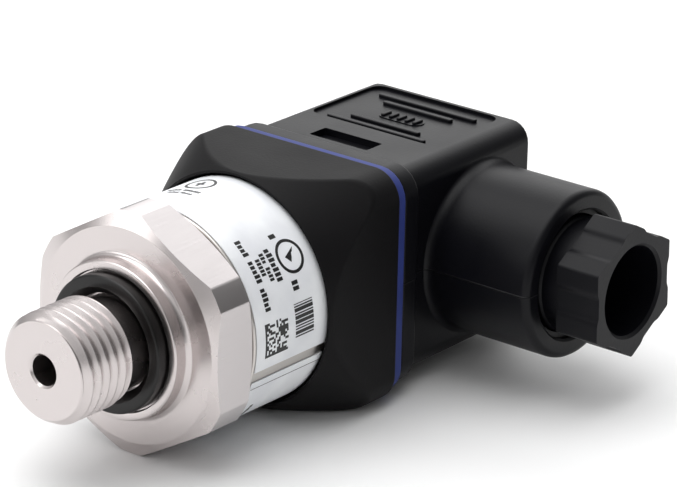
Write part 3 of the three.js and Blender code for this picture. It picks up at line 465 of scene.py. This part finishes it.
def slab(name, outline, bottom, top, facing="Y", soft=0.0):
    """A block pushed from a flat outline between two heights along the facing axis, with soft rims."""
    points = rounded(outline, steps=6)
    bpy.ops.object.select_all(action="DESELECT")
    bpy.ops.mesh.primitive_circle_add(vertices=len(points), fill_type="NGON")
    piece = bpy.context.object
    piece.name = name
    for vertex, (a, b) in zip(piece.data.vertices, points):
        vertex.co = Vector((a, b, bottom)) * MM
    bpy.ops.object.mode_set(mode="EDIT")
    bpy.ops.mesh.select_all(action="SELECT")
    bpy.ops.mesh.extrude_region_move(TRANSFORM_OT_translate={"value": (0, 0, (top - bottom) * MM)})
    bpy.ops.object.mode_set(mode="OBJECT")
    if soft:
        applied(piece, "BEVEL", width=soft * MM, segments=3, limit_method="ANGLE", angle_limit=SHARP_EDGE)
    for vertex in piece.data.vertices:
        a, b, c = vertex.co
        vertex.co = {"X": (c, a, b), "Y": (a, c, b), "Z": (a, b, c)}[facing]
    bpy.ops.object.mode_set(mode="EDIT")
    bpy.ops.mesh.select_all(action="SELECT")
    bpy.ops.mesh.normals_make_consistent(inside=False)
    bpy.ops.object.mode_set(mode="OBJECT")
    return piece


# Matt white polyester foil with a faint orange peel from its varnish.
foil = moulded("polyester_foil_white", "#f1f3f8", 0.34, 0.8, 0.06)
label = turned("nameplate_foil", [
    (LABEL_INNER_R, LABEL_FRONT),
    (LABEL_R, LABEL_FRONT, 0.04),
    (LABEL_R, LABEL_BACK, 0.04),
    (LABEL_INNER_R, LABEL_BACK),
])
wedge = [(0, 0)] + [(20 * math.cos(math.radians(a)), 20 * math.sin(math.radians(a))) for a in LABEL_GAP]
machined(label, slab("label_gap", wedge, LABEL_FRONT - 1, LABEL_BACK + 1))
fitted(label, foil, "label_foil", "device", "nameplate_label")

# Each mark is a flat patch: (from angle, to angle, from height, to height), with 0 degrees at the gland.
marks = [
    (46.9, 49.2, 15.6, 16.6),
    (22.6, 24.6, 15.7, 16.7),
    (19.8, 21.8, 15.7, 16.7),
    # A hairline in ink close to the label's end: painted shadow of the label's edge, not print.
    (336.6, 336.9, 8.6, 20.8),
]
random.seed(7)


def words(start, end, height, size, groups):
    """A row of dashes that stands for this many words between two angles."""
    dashes, step = [], math.degrees(0.62 * size / LABEL_R)
    count = int((end - start) / step)
    breaks = [round(count * (k + 1) / groups) for k in range(groups - 1)]
    for k in range(count):
        if k not in breaks:
            short = random.choice((0, 0, 0.22 * size))
            at = start + k * step
            dashes.append((at, at + 0.72 * step, height - size / 2, height + size / 2 - short))
    return dashes


for start, end, height, size, groups in (
    (26.9, 44.8, 14.1, 0.95, 1),
    (28.4, 43.6, 12.95, 0.7, 2),
    (32.0, 42.6, 12.0, 0.7, 1),
    (15.8, 54.2, 10.9, 0.9, 3),
    (90.5, 111.5, 14.3, 0.5, 2),
    (92.0, 108.0, 13.3, 0.45, 2),
    (150.0, 205.0, 17.4, 0.8, 3),
    (150.0, 236.0, 15.4, 0.6, 6),
    (150.0, 228.0, 14.0, 0.6, 5),
    (150.0, 215.0, 12.6, 0.6, 4),
    (250.0, 322.0, 11.2, 0.6, 5),
):
    marks += words(start, end, height, size, groups)
at = -3.0
while at < 13.6:
    width = random.choice((0.7, 1.1, 1.8))
    marks.append((at, min(at + width, 13.8), 15.2, 18.4))
    at += width + random.choice((0.5, 0.7))
for row in range(CELLS):
    for cell in range(CELLS):
        if row == 0 or cell == 0 or random.random() < 0.5:
            left, low_edge = CELLS_FROM + CELL_TURN * cell, CELLS_FRONT + CELL_HEIGHT * row
            marks.append((left, left + CELL_TURN, low_edge, low_edge + CELL_HEIGHT))
marks += [(99.2, 100.5, 16.2, 17.9), (97.6, 102.1, 16.8, 17.3)]

patches = []
for from_angle, to_angle, from_height, to_height in marks:
    width = math.radians(to_angle - from_angle) * LABEL_R
    bpy.ops.mesh.primitive_grid_add(x_subdivisions=math.ceil(width / INK_STEP), y_subdivisions=1, size=1)
    patch = bpy.context.object
    patch.scale = (width * MM, (to_height - from_height) * MM, 1)
    patch.location = (
        math.radians(from_angle + to_angle) / 2 * LABEL_R * MM,
        (from_height + to_height) / 2 * MM,
        0,
    )
    patches.append(patch)
for centre, height, ring_r in ((36.2, 17.1, 2.1), (99.85, 17.05, 1.9)):
    bpy.ops.mesh.primitive_circle_add(vertices=48, radius=ring_r * MM)
    ring = bpy.context.object
    bpy.ops.object.mode_set(mode="EDIT")
    bpy.ops.mesh.select_all(action="SELECT")
    bpy.ops.mesh.extrude_region_move()
    bpy.ops.transform.resize(value=(0.82, 0.82, 1))
    bpy.ops.object.mode_set(mode="OBJECT")
    ring.location = (math.radians(centre) * LABEL_R * MM, height * MM, 0)
    patches.append(ring)
bpy.ops.mesh.primitive_circle_add(vertices=3, radius=1.3 * MM, fill_type="NGON")
pointer = bpy.context.object
pointer.scale = (0.45, 1, 1)
pointer.rotation_euler.z = math.radians(-40)
pointer.location = (math.radians(36.5) * LABEL_R * MM, 17.1 * MM, 0)
patches.append(pointer)

bpy.ops.object.select_all(action="DESELECT")
for patch in patches:
    patch.select_set(True)
bpy.context.view_layer.objects.active = patches[0]
bpy.ops.object.join()
bpy.ops.object.transform_apply(location=True, rotation=True, scale=True)
ink = bpy.context.object
ink.name = "nameplate_print_and_painted_shadow"
for vertex in ink.data.vertices:
    turn = vertex.co.x / (LABEL_R * MM)
    vertex.co = Vector((LABEL_R * math.cos(turn) * MM, vertex.co.y, LABEL_R * math.sin(turn) * MM))
bpy.ops.object.mode_set(mode="EDIT")
bpy.ops.mesh.select_all(action="SELECT")
bpy.ops.mesh.remove_doubles(threshold=0.001 * MM)
bpy.ops.mesh.normals_make_consistent(inside=False)
bpy.ops.object.mode_set(mode="OBJECT")
applied(ink, "SOLIDIFY", thickness=2 * INK_THICKNESS * MM, offset=0)
# Thermal transfer ink, black and slightly glossy. The same ink also paints the shadow line beside the label's
# end.
fitted(ink, moulded("transfer_ink_black_and_painted_shadow", "#161616", 0.4, 0.3, 0.05), "label_foil", "device")


# ---------------------------------------------------------------- pressure and switch mechanism
# Everything inside the case: turned brass and steel parts on a rubber diaphragm, the range spring, and
# a snap switch in a moulded carrier. Each piece takes the CAD shape with its edges broken.


def refined(node, edge=0.0):
    """A CAD node's shape made whole: loose triangles merged, flats joined and edges broken by a bevel."""
    piece = bpy.data.objects.new(node + "_finished", nodes[node].data.copy())
    bpy.context.scene.collection.objects.link(piece)
    piece.data.materials.clear()
    bpy.ops.object.select_all(action="DESELECT")
    bpy.context.view_layer.objects.active = piece
    piece.select_set(True)
    bpy.ops.object.mode_set(mode="EDIT")
    bpy.ops.mesh.select_all(action="SELECT")
    bpy.ops.mesh.customdata_custom_splitnormals_clear()
    bpy.ops.mesh.remove_doubles(threshold=MERGE_DISTANCE * MM)
    bpy.ops.mesh.dissolve_limited(angle_limit=math.radians(1))
    bpy.ops.mesh.normals_make_consistent(inside=False)
    bpy.ops.object.mode_set(mode="OBJECT")
    if edge:
        applied(piece, "BEVEL", width=edge * MM, segments=2, limit_method="ANGLE", angle_limit=SHARP_EDGE)
    return piece


# Metals of small parts keep faint marks of the rod or strip they are made from. Plastics are smooth.
brass = streaked("brass_turned", "#c2a05a", (2, 0.3, 2), 0.28, 0.42, 0.25)
tinned_brass = streaked("brass_tin_plated", "#c2c1ba", (0.5, 3, 0.5), 0.34, 0.5, 0.3)
spring_steel = streaked("spring_steel_strip", "#8f9194", (0.4, 2, 0.4), 0.3, 0.42, 0.3)
stainless_small = streaked("stainless_steel_small_parts", "#c6c2bd", (2, 0.3, 2), 0.22, 0.34, 0.25)
carrier_resin = moulded("polyester_resin_beige", "#b3ab94", 0.42, 0.4, 0.12)
dark_resin = moulded("polyester_resin_black", "#232326", 0.45, 0.4, 0.12)
red_acetal = moulded("acetal_red", "#96281f", 0.36, 0.4, 0.08)
brown_pvc = moulded("pvc_insulation_brown", "#6b4026", 0.42, 0.4, 0.1)
blue_pvc = moulded("pvc_insulation_blue", "#284c96", 0.42, 0.4, 0.1)
black_pvc = moulded("pvc_insulation_black", "#191919", 0.42, 0.4, 0.1)

for node, material, slot, rides, edge in (
    ("diaphragm", nitrile, "seal_rubber", "device", 0.0),
    ("diaphragm_clamp", brass, "brass", "device", 0.12),
    ("piston", stainless_small, "stainless_steel", "pressure_piston", 0.1),
    ("spring_plate", stainless_small, "stainless_steel", "pressure_piston", 0.08),
    ("range_spring", spring_steel, "spring_steel", "device", 0.0),
    ("spring_cap", stainless_small, "stainless_steel", "spring_cap", 0.1),
    ("adjusting_screw", brass, "brass", "adjusting_screw", 0.08),
    ("switch_carrier", carrier_resin, "carrier_plastic", "device", 0.15),
    ("switch_cover", dark_resin, "inner_plastic", "device", 0.12),
    ("switch_base", dark_resin, "inner_plastic", "device", 0.1),
    ("switch_terminal_common", tinned_brass, "tinned_brass", "device", 0.05),
    ("switch_terminal_open", tinned_brass, "tinned_brass", "device", 0.05),
    ("switch_terminal_closed", tinned_brass, "tinned_brass", "device", 0.05),
    ("snap_blade", brass, "brass", "moving_contact", 0.03),
    ("switch_plunger", red_acetal, "red_plastic", "plunger", 0.06),
    ("lead_common", brown_pvc, "brown_insulation", "device", 0.0),
    ("lead_closed", blue_pvc, "blue_insulation", "device", 0.0),
    ("lead_open", black_pvc, "black_insulation", "device", 0.0),
    ("earth_strap", spring_steel, "spring_steel", "device", 0.04),
    ("case_seal", nitrile, "seal_rubber", "device", 0.0),
    ("threaded_insert", brass, "brass", "device", 0.08),
):
    piece = fitted(refined(node, edge), material, slot, rides, node, smooth=35)
    if node == "range_spring":
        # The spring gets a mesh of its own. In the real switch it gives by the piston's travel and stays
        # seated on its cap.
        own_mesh(piece)


# ---------------------------------------------------------------- adapter and contact pins
# A glass filled polyamide moulding that is round at its mouth, where the case goes in, and square at
# the plug. A cone meets the square's sides along soft curves. Four tinned pins stand out of its plate.

ADAPTER_HALF, ADAPTER_CORNER, ADAPTER_MOUTH, ADAPTER_BACK, ADAPTER_MOUTH_R = 14.5, 3.7, 20.4, 33, 14.35
CONE_SLOPE, CONE_SOFTNESS, ADAPTER_STEPS = 0.57, 2.0, 240
LIP_R, ADAPTER_BORE_R, CASE_GAP_BACK = 14.1, 13.85, 29.3
SKIRT_R, SKIRT_INNER_R, SKIRT_FRONT = 12.35, 10.6, 24.2
GROOVE_R, GROOVE_FRONT, GROOVE_BACK = 11.45, 26.1, 27.5
HUB_R, HUB_HOLE_R, HUB_FRONT, PLATE_FRONT = 4.2, 2.65, 28, 30
PIN_RADIUS, PIN_SLOT_X, PIN_SLOT_Z = 9, 0.5, 3.2
FAR_R, LEVELS_START, LEVELS_SPAN = 40, 21, 11


def square_reach(turn, half, corner):
    """How far a rounded square reaches from its centre in a direction."""
    a, b = sorted((abs(math.cos(turn)), abs(math.sin(turn))), reverse=True)
    if half * b / a <= half - corner:
        return half / a
    middle = half - corner
    along = middle * (a + b)
    return along + math.sqrt(corner ** 2 - 2 * middle ** 2 + along ** 2)


def column(turn):
    """The adapter's outer outline in one direction: lip, cone, soft bend, side and back edge."""
    reach = square_reach(turn, ADAPTER_HALF, ADAPTER_CORNER)
    bend = ADAPTER_MOUTH + 0.1 + (reach - ADAPTER_MOUTH_R) / CONE_SLOPE
    slant = math.hypot(reach - ADAPTER_MOUTH_R, bend - ADAPTER_MOUTH)
    softness = min(CONE_SOFTNESS, 0.45 * slant / math.tan(math.atan(CONE_SLOPE) / 2))
    return rounded([
        (LIP_R, ADAPTER_MOUTH),
        (ADAPTER_MOUTH_R, ADAPTER_MOUTH, 0.07),
        (reach, bend, softness),
        (reach, ADAPTER_BACK, 0.4),
        (ADAPTER_HALF - 1.5, ADAPTER_BACK),
    ], steps=5)[1:-1]


# The outside is spun at a far radius with one level for each point of the column. Its points then move
# to where the column has them in their direction.
levels = len(column(0.0))
far_levels = [(FAR_R, LEVELS_START + k * LEVELS_SPAN / levels) for k in range(levels)]
adapter = turned("adapter_housing_moulded", far_levels + [
    (ADAPTER_HALF - 1.5, ADAPTER_BACK),
    (HUB_HOLE_R, ADAPTER_BACK),
    (HUB_HOLE_R, HUB_FRONT),
    (HUB_R, HUB_FRONT, 0.2),
    (HUB_R, PLATE_FRONT),
    (SKIRT_INNER_R, PLATE_FRONT),
    (SKIRT_INNER_R, SKIRT_FRONT, 0.2),
    (SKIRT_R, SKIRT_FRONT, 0.2),
    (SKIRT_R, GROOVE_FRONT),
    (GROOVE_R, GROOVE_FRONT),
    (GROOVE_R, GROOVE_BACK),
    (SKIRT_R, GROOVE_BACK),
    (SKIRT_R, CASE_GAP_BACK),
    (ADAPTER_BORE_R, CASE_GAP_BACK),
    (ADAPTER_BORE_R, ADAPTER_MOUTH + 0.6),
    (LIP_R, ADAPTER_MOUTH),
], steps=ADAPTER_STEPS)
for vertex in adapter.data.vertices:
    if math.hypot(vertex.co.x, vertex.co.z) > FAR_R / 2 * MM:
        turn = math.atan2(vertex.co.z, vertex.co.x)
        out, up = column(turn)[round((vertex.co.y / MM - LEVELS_START) * levels / LEVELS_SPAN)]
        vertex.co = Vector((out * math.cos(turn), up, out * math.sin(turn))) * MM


def around(piece, tool_name, outline, bottom, top):
    """Cuts the same opening at the four contact places, a quarter turn apart."""
    for quarter_turn in range(4):
        tool = slab(tool_name, outline, bottom, top)
        tool.matrix_world = Matrix.Rotation(quarter_turn * math.pi / 2, 4, "Y")
        bpy.ops.object.transform_apply(location=True, rotation=True, scale=True)
        machined(piece, tool)


def oblong(x_half, z_half, radius, x=0.0, z=0.0):
    """The corners of a rectangle about a centre, all rounded by one radius."""
    return [(x + a * x_half, z + b * z_half, radius) for a, b in ((1, 1), (-1, 1), (-1, -1), (1, -1))]


pin_slot = oblong(PIN_SLOT_X, PIN_SLOT_Z, 0.05, x=PIN_RADIUS)
around(adapter, "pin_slot", pin_slot, PLATE_FRONT - 1, ADAPTER_BACK + 1)
# Glass filled polyamide 66, black, matt from a fine spark eroded mould surface.
glass_filled = moulded("polyamide_glass_filled_black", "#0b0a0c", 0.55, 0.3, 0.6, IOR=1.24)
fitted(adapter, glass_filled, "black_polyamide", "device", "adapter_housing", smooth=40)

for node in ("contact_pin_1", "contact_pin_2", "contact_pin_3", "earth_pin"):
    fitted(refined(node, 0.12), tinned_brass, "tinned_brass", "device", node)


# ---------------------------------------------------------------- flat gasket
# A blue silicone sheet cut to the plug's square, with slots for the pins and a hole for the screw. It
# shows as a thin line between the adapter and the plug.

GASKET_HALF, GASKET_CORNER, GASKET_FRONT, GASKET_BACK = 14.12, 3.6, 33.05, 34.55
GASKET_SLOT_X, GASKET_SLOT_Z, GASKET_HOLE_R = 0.7, 3.4, 2.3

gasket_outline = oblong(GASKET_HALF, GASKET_HALF, GASKET_CORNER)
gasket = slab("flat_gasket_sheet", gasket_outline, GASKET_FRONT, GASKET_BACK, soft=0.3)
gasket_slot = oblong(GASKET_SLOT_X, GASKET_SLOT_Z, 0.3, x=PIN_RADIUS)
around(gasket, "pin_slot", gasket_slot, GASKET_FRONT - 1, GASKET_BACK + 1)
machined(gasket, turned("screw_hole", [
    (0, GASKET_FRONT - 1),
    (GASKET_HOLE_R, GASKET_FRONT - 1),
    (GASKET_HOLE_R, GASKET_BACK + 1),
    (0, GASKET_BACK + 1),
], steps=48))
# Silicone rubber, blue, with a satin skin.
blue_silicone = moulded("silicone_rubber_blue", "#1f3078", 0.6, 0.4, 0.15)
fitted(gasket, blue_silicone, "blue_rubber", "plug", "flat_gasket")


# ---------------------------------------------------------------- plug housing
# One black polyamide moulding: a square flange, a rounded body, and the gland's barrel growing out of
# its side. Its upper face has ribs and a plain badge with bars in a shallow panel, and a small pocket.

PLUG_X, PLUG_Z, PLUG_EDGE, PLUG_FRONT, PLUG_BACK, PLUG_BACK_EDGE = 12.6, 13, 2.5, 34.6, 60.9, 0.5
FLANGE_HALF, FLANGE_CORNER, FLANGE_BACK, FLANGE_EDGE = 13.8, 3.7, 37.6, 0.5
CAVITY_X, CAVITY_Z, CAVITY_BACK, POST_R, POST_FRONT, POST_BORE_R = 11, 11.4, 55.8, 3.2, 51.6, 1.75
HEAD_RECESS_R, HEAD_RECESS_FLOOR = 3.45, 57.3
GLAND_Y, BOSS_R, BOSS_END, BOSS_EDGE, ROOT_OUT, ROOT_UP = 51.05, 10.34, 27.4, 0.9, 0.65, 1.4
BARREL_START, BARREL_FRONT, BARREL_BACK, BARREL_Z = 4, 38, 61.395, 12.2
CABLE_HOLE_R, CABLE_HOLE_END = 4.6, 13.6
NUT_HOLE_R, NUT_HOLE_START, NUT_HOLE_END, NUT_MOUTH_R = 7.3, 15.2, 26.3, 7.9
PANEL_X, PANEL_Y, PANEL_HALF_X, PANEL_HALF_Y, PANEL_CORNER, PANEL_FLOOR = -0.8, 53.15, 9.6, 6.85, 1.6, 12.6
DIMPLE_X, DIMPLE_Y, DIMPLE_HALF_X, DIMPLE_HALF_Y, DIMPLE_FLOOR = -0.5, 41.35, 4.4, 1.55, 12.1
BADGE_Y, BADGE_HALF_X, BADGE_HALF_Y, BADGE_TOP = 52.4, 3.2, 1.2, 12.72
RIB_X, RIB_HALF_WIDTH, RIB_TOP = -0.6, 0.38, 13
RIB_ROWS = ((47.3, 7.5), (49.15, 5.3), (55.55, 5.3), (57.5, 7.5))
BAR_SPOTS, BAR_HALF_X, BAR_HALF_Y = (-2.4, -1.2, 0, 1.2, 2.4), 0.28, 0.9


def on_gland(piece):
    """Moves a piece that was turned about the device axis onto the gland's axis."""
    piece.matrix_world = Matrix.Translation((0, GLAND_Y * MM, 0)) @ Matrix.Rotation(-math.pi / 2, 4, "Z")
    bpy.ops.object.transform_apply(location=True, rotation=True, scale=True)
    return piece


plug = slab("plug_housing_moulded", oblong(PLUG_X, PLUG_Z, PLUG_EDGE), PLUG_FRONT + 0.5, PLUG_BACK,
            soft=PLUG_BACK_EDGE)
machined(plug, slab("flange", oblong(FLANGE_HALF, FLANGE_HALF, FLANGE_CORNER), PLUG_FRONT, FLANGE_BACK,
                    soft=FLANGE_EDGE), "UNION")
root_curve = [math.radians(15 * k) for k in range(7)]
barrel = on_gland(turned("gland_barrel", [(0, 5), (BOSS_R + ROOT_OUT, 5)] + [
    (BOSS_R + ROOT_OUT * (1 - math.sin(a)), PLUG_X - 0.01 + ROOT_UP * (1 - math.cos(a))) for a in root_curve
] + [(BOSS_R, BOSS_END, BOSS_EDGE), (0, BOSS_END)]))
barrel_room = slab("barrel_room", [
    (BARREL_FRONT, -BARREL_Z), (BARREL_BACK, -BARREL_Z), (BARREL_BACK, BARREL_Z), (BARREL_FRONT, BARREL_Z),
], BARREL_START, BOSS_END + 1.6, "X")
machined(barrel, barrel_room, "INTERSECT")
machined(plug, barrel, "UNION")
panel = oblong(PANEL_HALF_X, PANEL_HALF_Y, PANEL_CORNER, PANEL_X, PANEL_Y)
machined(plug, slab("panel", panel, PANEL_FLOOR, RIB_TOP + 2, "Z"))
dimple = oblong(DIMPLE_HALF_X, DIMPLE_HALF_Y, 0.3, DIMPLE_X, DIMPLE_Y)
machined(plug, slab("pocket", dimple, DIMPLE_FLOOR, RIB_TOP + 2, "Z"))
badge = oblong(BADGE_HALF_X, BADGE_HALF_Y, BADGE_HALF_Y - 0.01, RIB_X, BADGE_Y)
machined(plug, slab("badge", badge, PANEL_FLOOR - 0.4, BADGE_TOP, "Z"), "UNION")
ribs = [(RIB_X, y, half_length, RIB_HALF_WIDTH) for y, half_length in RIB_ROWS]
ribs += [(RIB_X + x, BADGE_Y, BAR_HALF_X, BAR_HALF_Y) for x in BAR_SPOTS]
for x, y, half_x, half_y in ribs:
    rib = oblong(half_x, half_y, min(half_x, half_y) - 0.01, x, y)
    machined(plug, slab("rib", rib, PANEL_FLOOR - 0.4, RIB_TOP, "Z", soft=0.14), "UNION")
machined(plug, slab("cavity", oblong(CAVITY_X, CAVITY_Z, 1.5), PLUG_FRONT - 1, CAVITY_BACK))
machined(plug, on_gland(turned("gland_bore", [
    (0, CAVITY_X - 1),
    (CABLE_HOLE_R, CAVITY_X - 1),
    (CABLE_HOLE_R, CABLE_HOLE_END),
    (NUT_HOLE_R, NUT_HOLE_START),
    (NUT_HOLE_R, NUT_HOLE_END),
    (NUT_MOUTH_R, NUT_HOLE_END + 0.1),
    (NUT_MOUTH_R, BOSS_END - 0.3),
    (NUT_MOUTH_R + 1, BOSS_END + 0.7),
    (0, BOSS_END + 0.7),
])))
machined(plug, turned("screw_post", [
    (0, POST_FRONT), (POST_R, POST_FRONT, 0.2), (POST_R, CAVITY_BACK + 0.5), (0, CAVITY_BACK + 0.5),
], steps=64), "UNION")
machined(plug, turned("screw_way", [
    (0, POST_FRONT - 1),
    (POST_BORE_R, POST_FRONT - 1),
    (POST_BORE_R, HEAD_RECESS_FLOOR),
    (HEAD_RECESS_R, HEAD_RECESS_FLOOR),
    (HEAD_RECESS_R, PLUG_BACK - 0.3),
    (HEAD_RECESS_R + 0.6, PLUG_BACK + 0.3),
    (0, PLUG_BACK + 0.3),
], steps=64))

# Black polyamide with the matt, finely grained skin of an eroded mould. The mould's parting line runs
# round the housing at mid height as a fine raised line.
PARTING_HALF_WIDTH, PARTING_HEIGHT = 0.12, 0.12
polyamide = moulded("polyamide_black", "#08080d", 0.4, 0.35, 0.35, IOR=1.28)
parted = polyamide.copy()
parted.name = "polyamide_black_with_parting_line"
tree = parted.node_tree
place = add(tree, "SeparateXYZ", {"Vector": add(tree, "TexCoord", {}).outputs["Object"]})
height = add(tree, "Math", {0: place.outputs["Z"]}, operation="ABSOLUTE")
line = add(tree, "MapRange", {
    "Value": height.outputs["Value"], "From Max": PARTING_HALF_WIDTH * MM, "To Min": 1.0, "To Max": 0.0,
})
shader = tree.nodes["Principled BSDF"]
skin = shader.inputs["Normal"].links[0].from_socket
seam = add(tree, "Bump", {
    "Height": line.outputs["Result"], "Normal": skin, "Strength": 1.0, "Distance": PARTING_HEIGHT * MM,
})
tree.links.new(seam.outputs["Normal"], shader.inputs["Normal"])
fitted(plug, parted, "black_polyamide", "plug", "plug_housing")


# ---------------------------------------------------------------- contact insert and terminals
# A dark insert in the plug holds four screw terminals of tinned brass. Each has a saddle clamp under a
# slotted screw.

SCREW_R, SCREW_PITCH, SCREW_ROOT_R, SCREW_HEAD_R, SCREW_HEAD = 1.5, 0.5, 1.22, 2.75, 2

fitted(refined("contact_insert", 0.1), dark_resin, "inner_plastic", "plug", "contact_insert")


def slotted_screw(stands_for, front, head, body, place):
    """An M3 cheese-head screw: rolled thread, turned head and sawn slot, made on the axis and then placed."""
    thread = drawn(stands_for + "_turned", [
        (SCREW_ROOT_R, front),
        (SCREW_R, front + 0.2),
        (SCREW_R, front + 0.28),
        (SCREW_ROOT_R, front + SCREW_PITCH),
    ], closed=False)
    threaded(thread, SCREW_PITCH, int((head - front) / SCREW_PITCH) - 2, 24)
    blank = turned("head", [
        (0, head - 1.6),
        (SCREW_R, head - 1.6),
        (SCREW_R, head),
        (SCREW_HEAD_R, head, 0.1),
        (SCREW_HEAD_R, head + SCREW_HEAD, 0.3),
        (0, head + SCREW_HEAD),
    ], steps=48)
    machined(blank, slab("slot", oblong(4, 0.35, 0.02), head + 1.1, head + 3))
    bpy.ops.object.select_all(action="DESELECT")
    blank.select_set(True)
    thread.select_set(True)
    bpy.context.view_layer.objects.active = thread
    bpy.ops.object.join()
    thread.matrix_world = place
    bpy.ops.object.transform_apply(location=True, rotation=True, scale=True)
    return fitted(thread, stainless_small, "stainless_steel", body, stands_for)


for quarter_turn, contact in ((0, "1"), (1, "3"), (2, "2"), (3, "earth")):
    terminal = refined("terminal_" + contact, 0.06)
    fitted(terminal, tinned_brass, "tinned_brass", "plug", "terminal_" + contact)
    clamp = refined("terminal_clamp_" + contact, 0.08)
    fitted(clamp, tinned_brass, "tinned_brass", "clamp_" + contact, "terminal_clamp_" + contact)
    screw = "terminal_screw_" + contact
    low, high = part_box(screw)
    spot = Matrix.Translation(((low.x + high.x) / 2, 0, (low.z + high.z) / 2))
    place = spot @ Matrix.Rotation(quarter_turn * math.pi / 2, 4, "Y")
    slotted_screw(screw, low.y / MM, high.y / MM - SCREW_HEAD, "clamp_screw_" + contact, place)
low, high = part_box("fixing_screw")
place = Matrix.Rotation(math.radians(35), 4, "Y")
slotted_screw("fixing_screw", low.y / MM, high.y / MM - SCREW_HEAD, "fixing_screw", place)
screw_seal = refined("fixing_screw_seal", 0.1)
fitted(screw_seal, nitrile, "seal_rubber", "fixing_screw_seal", "fixing_screw_seal", smooth=35)


# ---------------------------------------------------------------- cable gland
# A rubber grommet and a thrust washer in the barrel, squeezed by a hollow nut. The nut's neck is round
# and its hexagon has a shallow grip hollow in each flat.

NUT_SHANK_R, NUT_SHANK, NUT_NECK_R, NUT_NECK, NUT_HEAD, NUT_END = 7.05, 23.4, 6.85, 27, 29.5, 35.3
NUT_FLAT, NUT_TURN, NUT_BORE_R, GRIP_HALF, GRIP_DEPTH = 7.3, 2, 5.5, 1.6, 0.3
GROMMET_R, GROMMET_HOLE_R, GROMMET_START, GROMMET_END = 7, 4, 15.5, 20
WASHER_R, WASHER_HOLE_R, WASHER_START, WASHER_END = 7.05, 5.5, 22.2, 23.2

grommet = on_gland(turned("gland_grommet_moulded", [
    (GROMMET_HOLE_R + 0.5, GROMMET_START, 0.2),
    (GROMMET_R, GROMMET_START, 0.3),
    (GROMMET_R, GROMMET_END, 0.3),
    (GROMMET_HOLE_R + 0.8, GROMMET_END, 0.2),
    (GROMMET_HOLE_R, GROMMET_END - 1, 0.3),
    (GROMMET_HOLE_R, GROMMET_START + 0.7, 0.3),
], steps=96))
fitted(grommet, nitrile, "seal_rubber", "plug", "gland_grommet")
washer = on_gland(turned("gland_washer_moulded", [
    (WASHER_HOLE_R, WASHER_START, 0.12),
    (WASHER_R, WASHER_START, 0.12),
    (WASHER_R, WASHER_END, 0.12),
    (WASHER_HOLE_R, WASHER_END, 0.12),
], steps=96))
fitted(washer, dark_resin, "inner_plastic", "gland_washer", "gland_washer")

corner = NUT_FLAT / math.sqrt(3)
grip = []
for side in range(6):
    turn = math.radians(NUT_TURN + 60 * side)
    across, along = Vector((math.cos(turn), math.sin(turn))), Vector((-math.sin(turn), math.cos(turn)))
    for s, depth, radius in (
        (-GRIP_HALF - 0.3, 0, 1.5), (0.3 - GRIP_HALF, GRIP_DEPTH, 1.5),
        (GRIP_HALF - 0.3, GRIP_DEPTH, 1.5), (GRIP_HALF + 0.3, 0, 1.5), (corner, 0, 0.45),
    ):
        spot = across * (NUT_FLAT - depth) + along * s + Vector((GLAND_Y, 0))
        grip.append((spot.x, spot.y, radius))
nut = slab("gland_nut_moulded", grip, NUT_HEAD, NUT_END, "X", soft=0.25)
machined(nut, on_gland(turned("nut_shank", [
    (0, NUT_SHANK),
    (NUT_SHANK_R, NUT_SHANK, 0.4),
    (NUT_SHANK_R, NUT_NECK - 0.3),
    (NUT_NECK_R, NUT_NECK),
    (NUT_NECK_R, NUT_HEAD + 0.5),
    (0, NUT_HEAD + 0.5),
])), "UNION")
machined(nut, on_gland(turned("nut_bore", [
    (0, NUT_SHANK - 1),
    (NUT_BORE_R, NUT_SHANK - 1),
    (NUT_BORE_R, NUT_END - 0.35),
    (NUT_BORE_R + 0.85, NUT_END + 0.5),
    (0, NUT_END + 0.5),
], steps=96)))
fitted(nut, polyamide, "black_polyamide", "gland_nut", "gland_nut")


# ---------------------------------------------------------------- last lines
low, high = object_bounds()
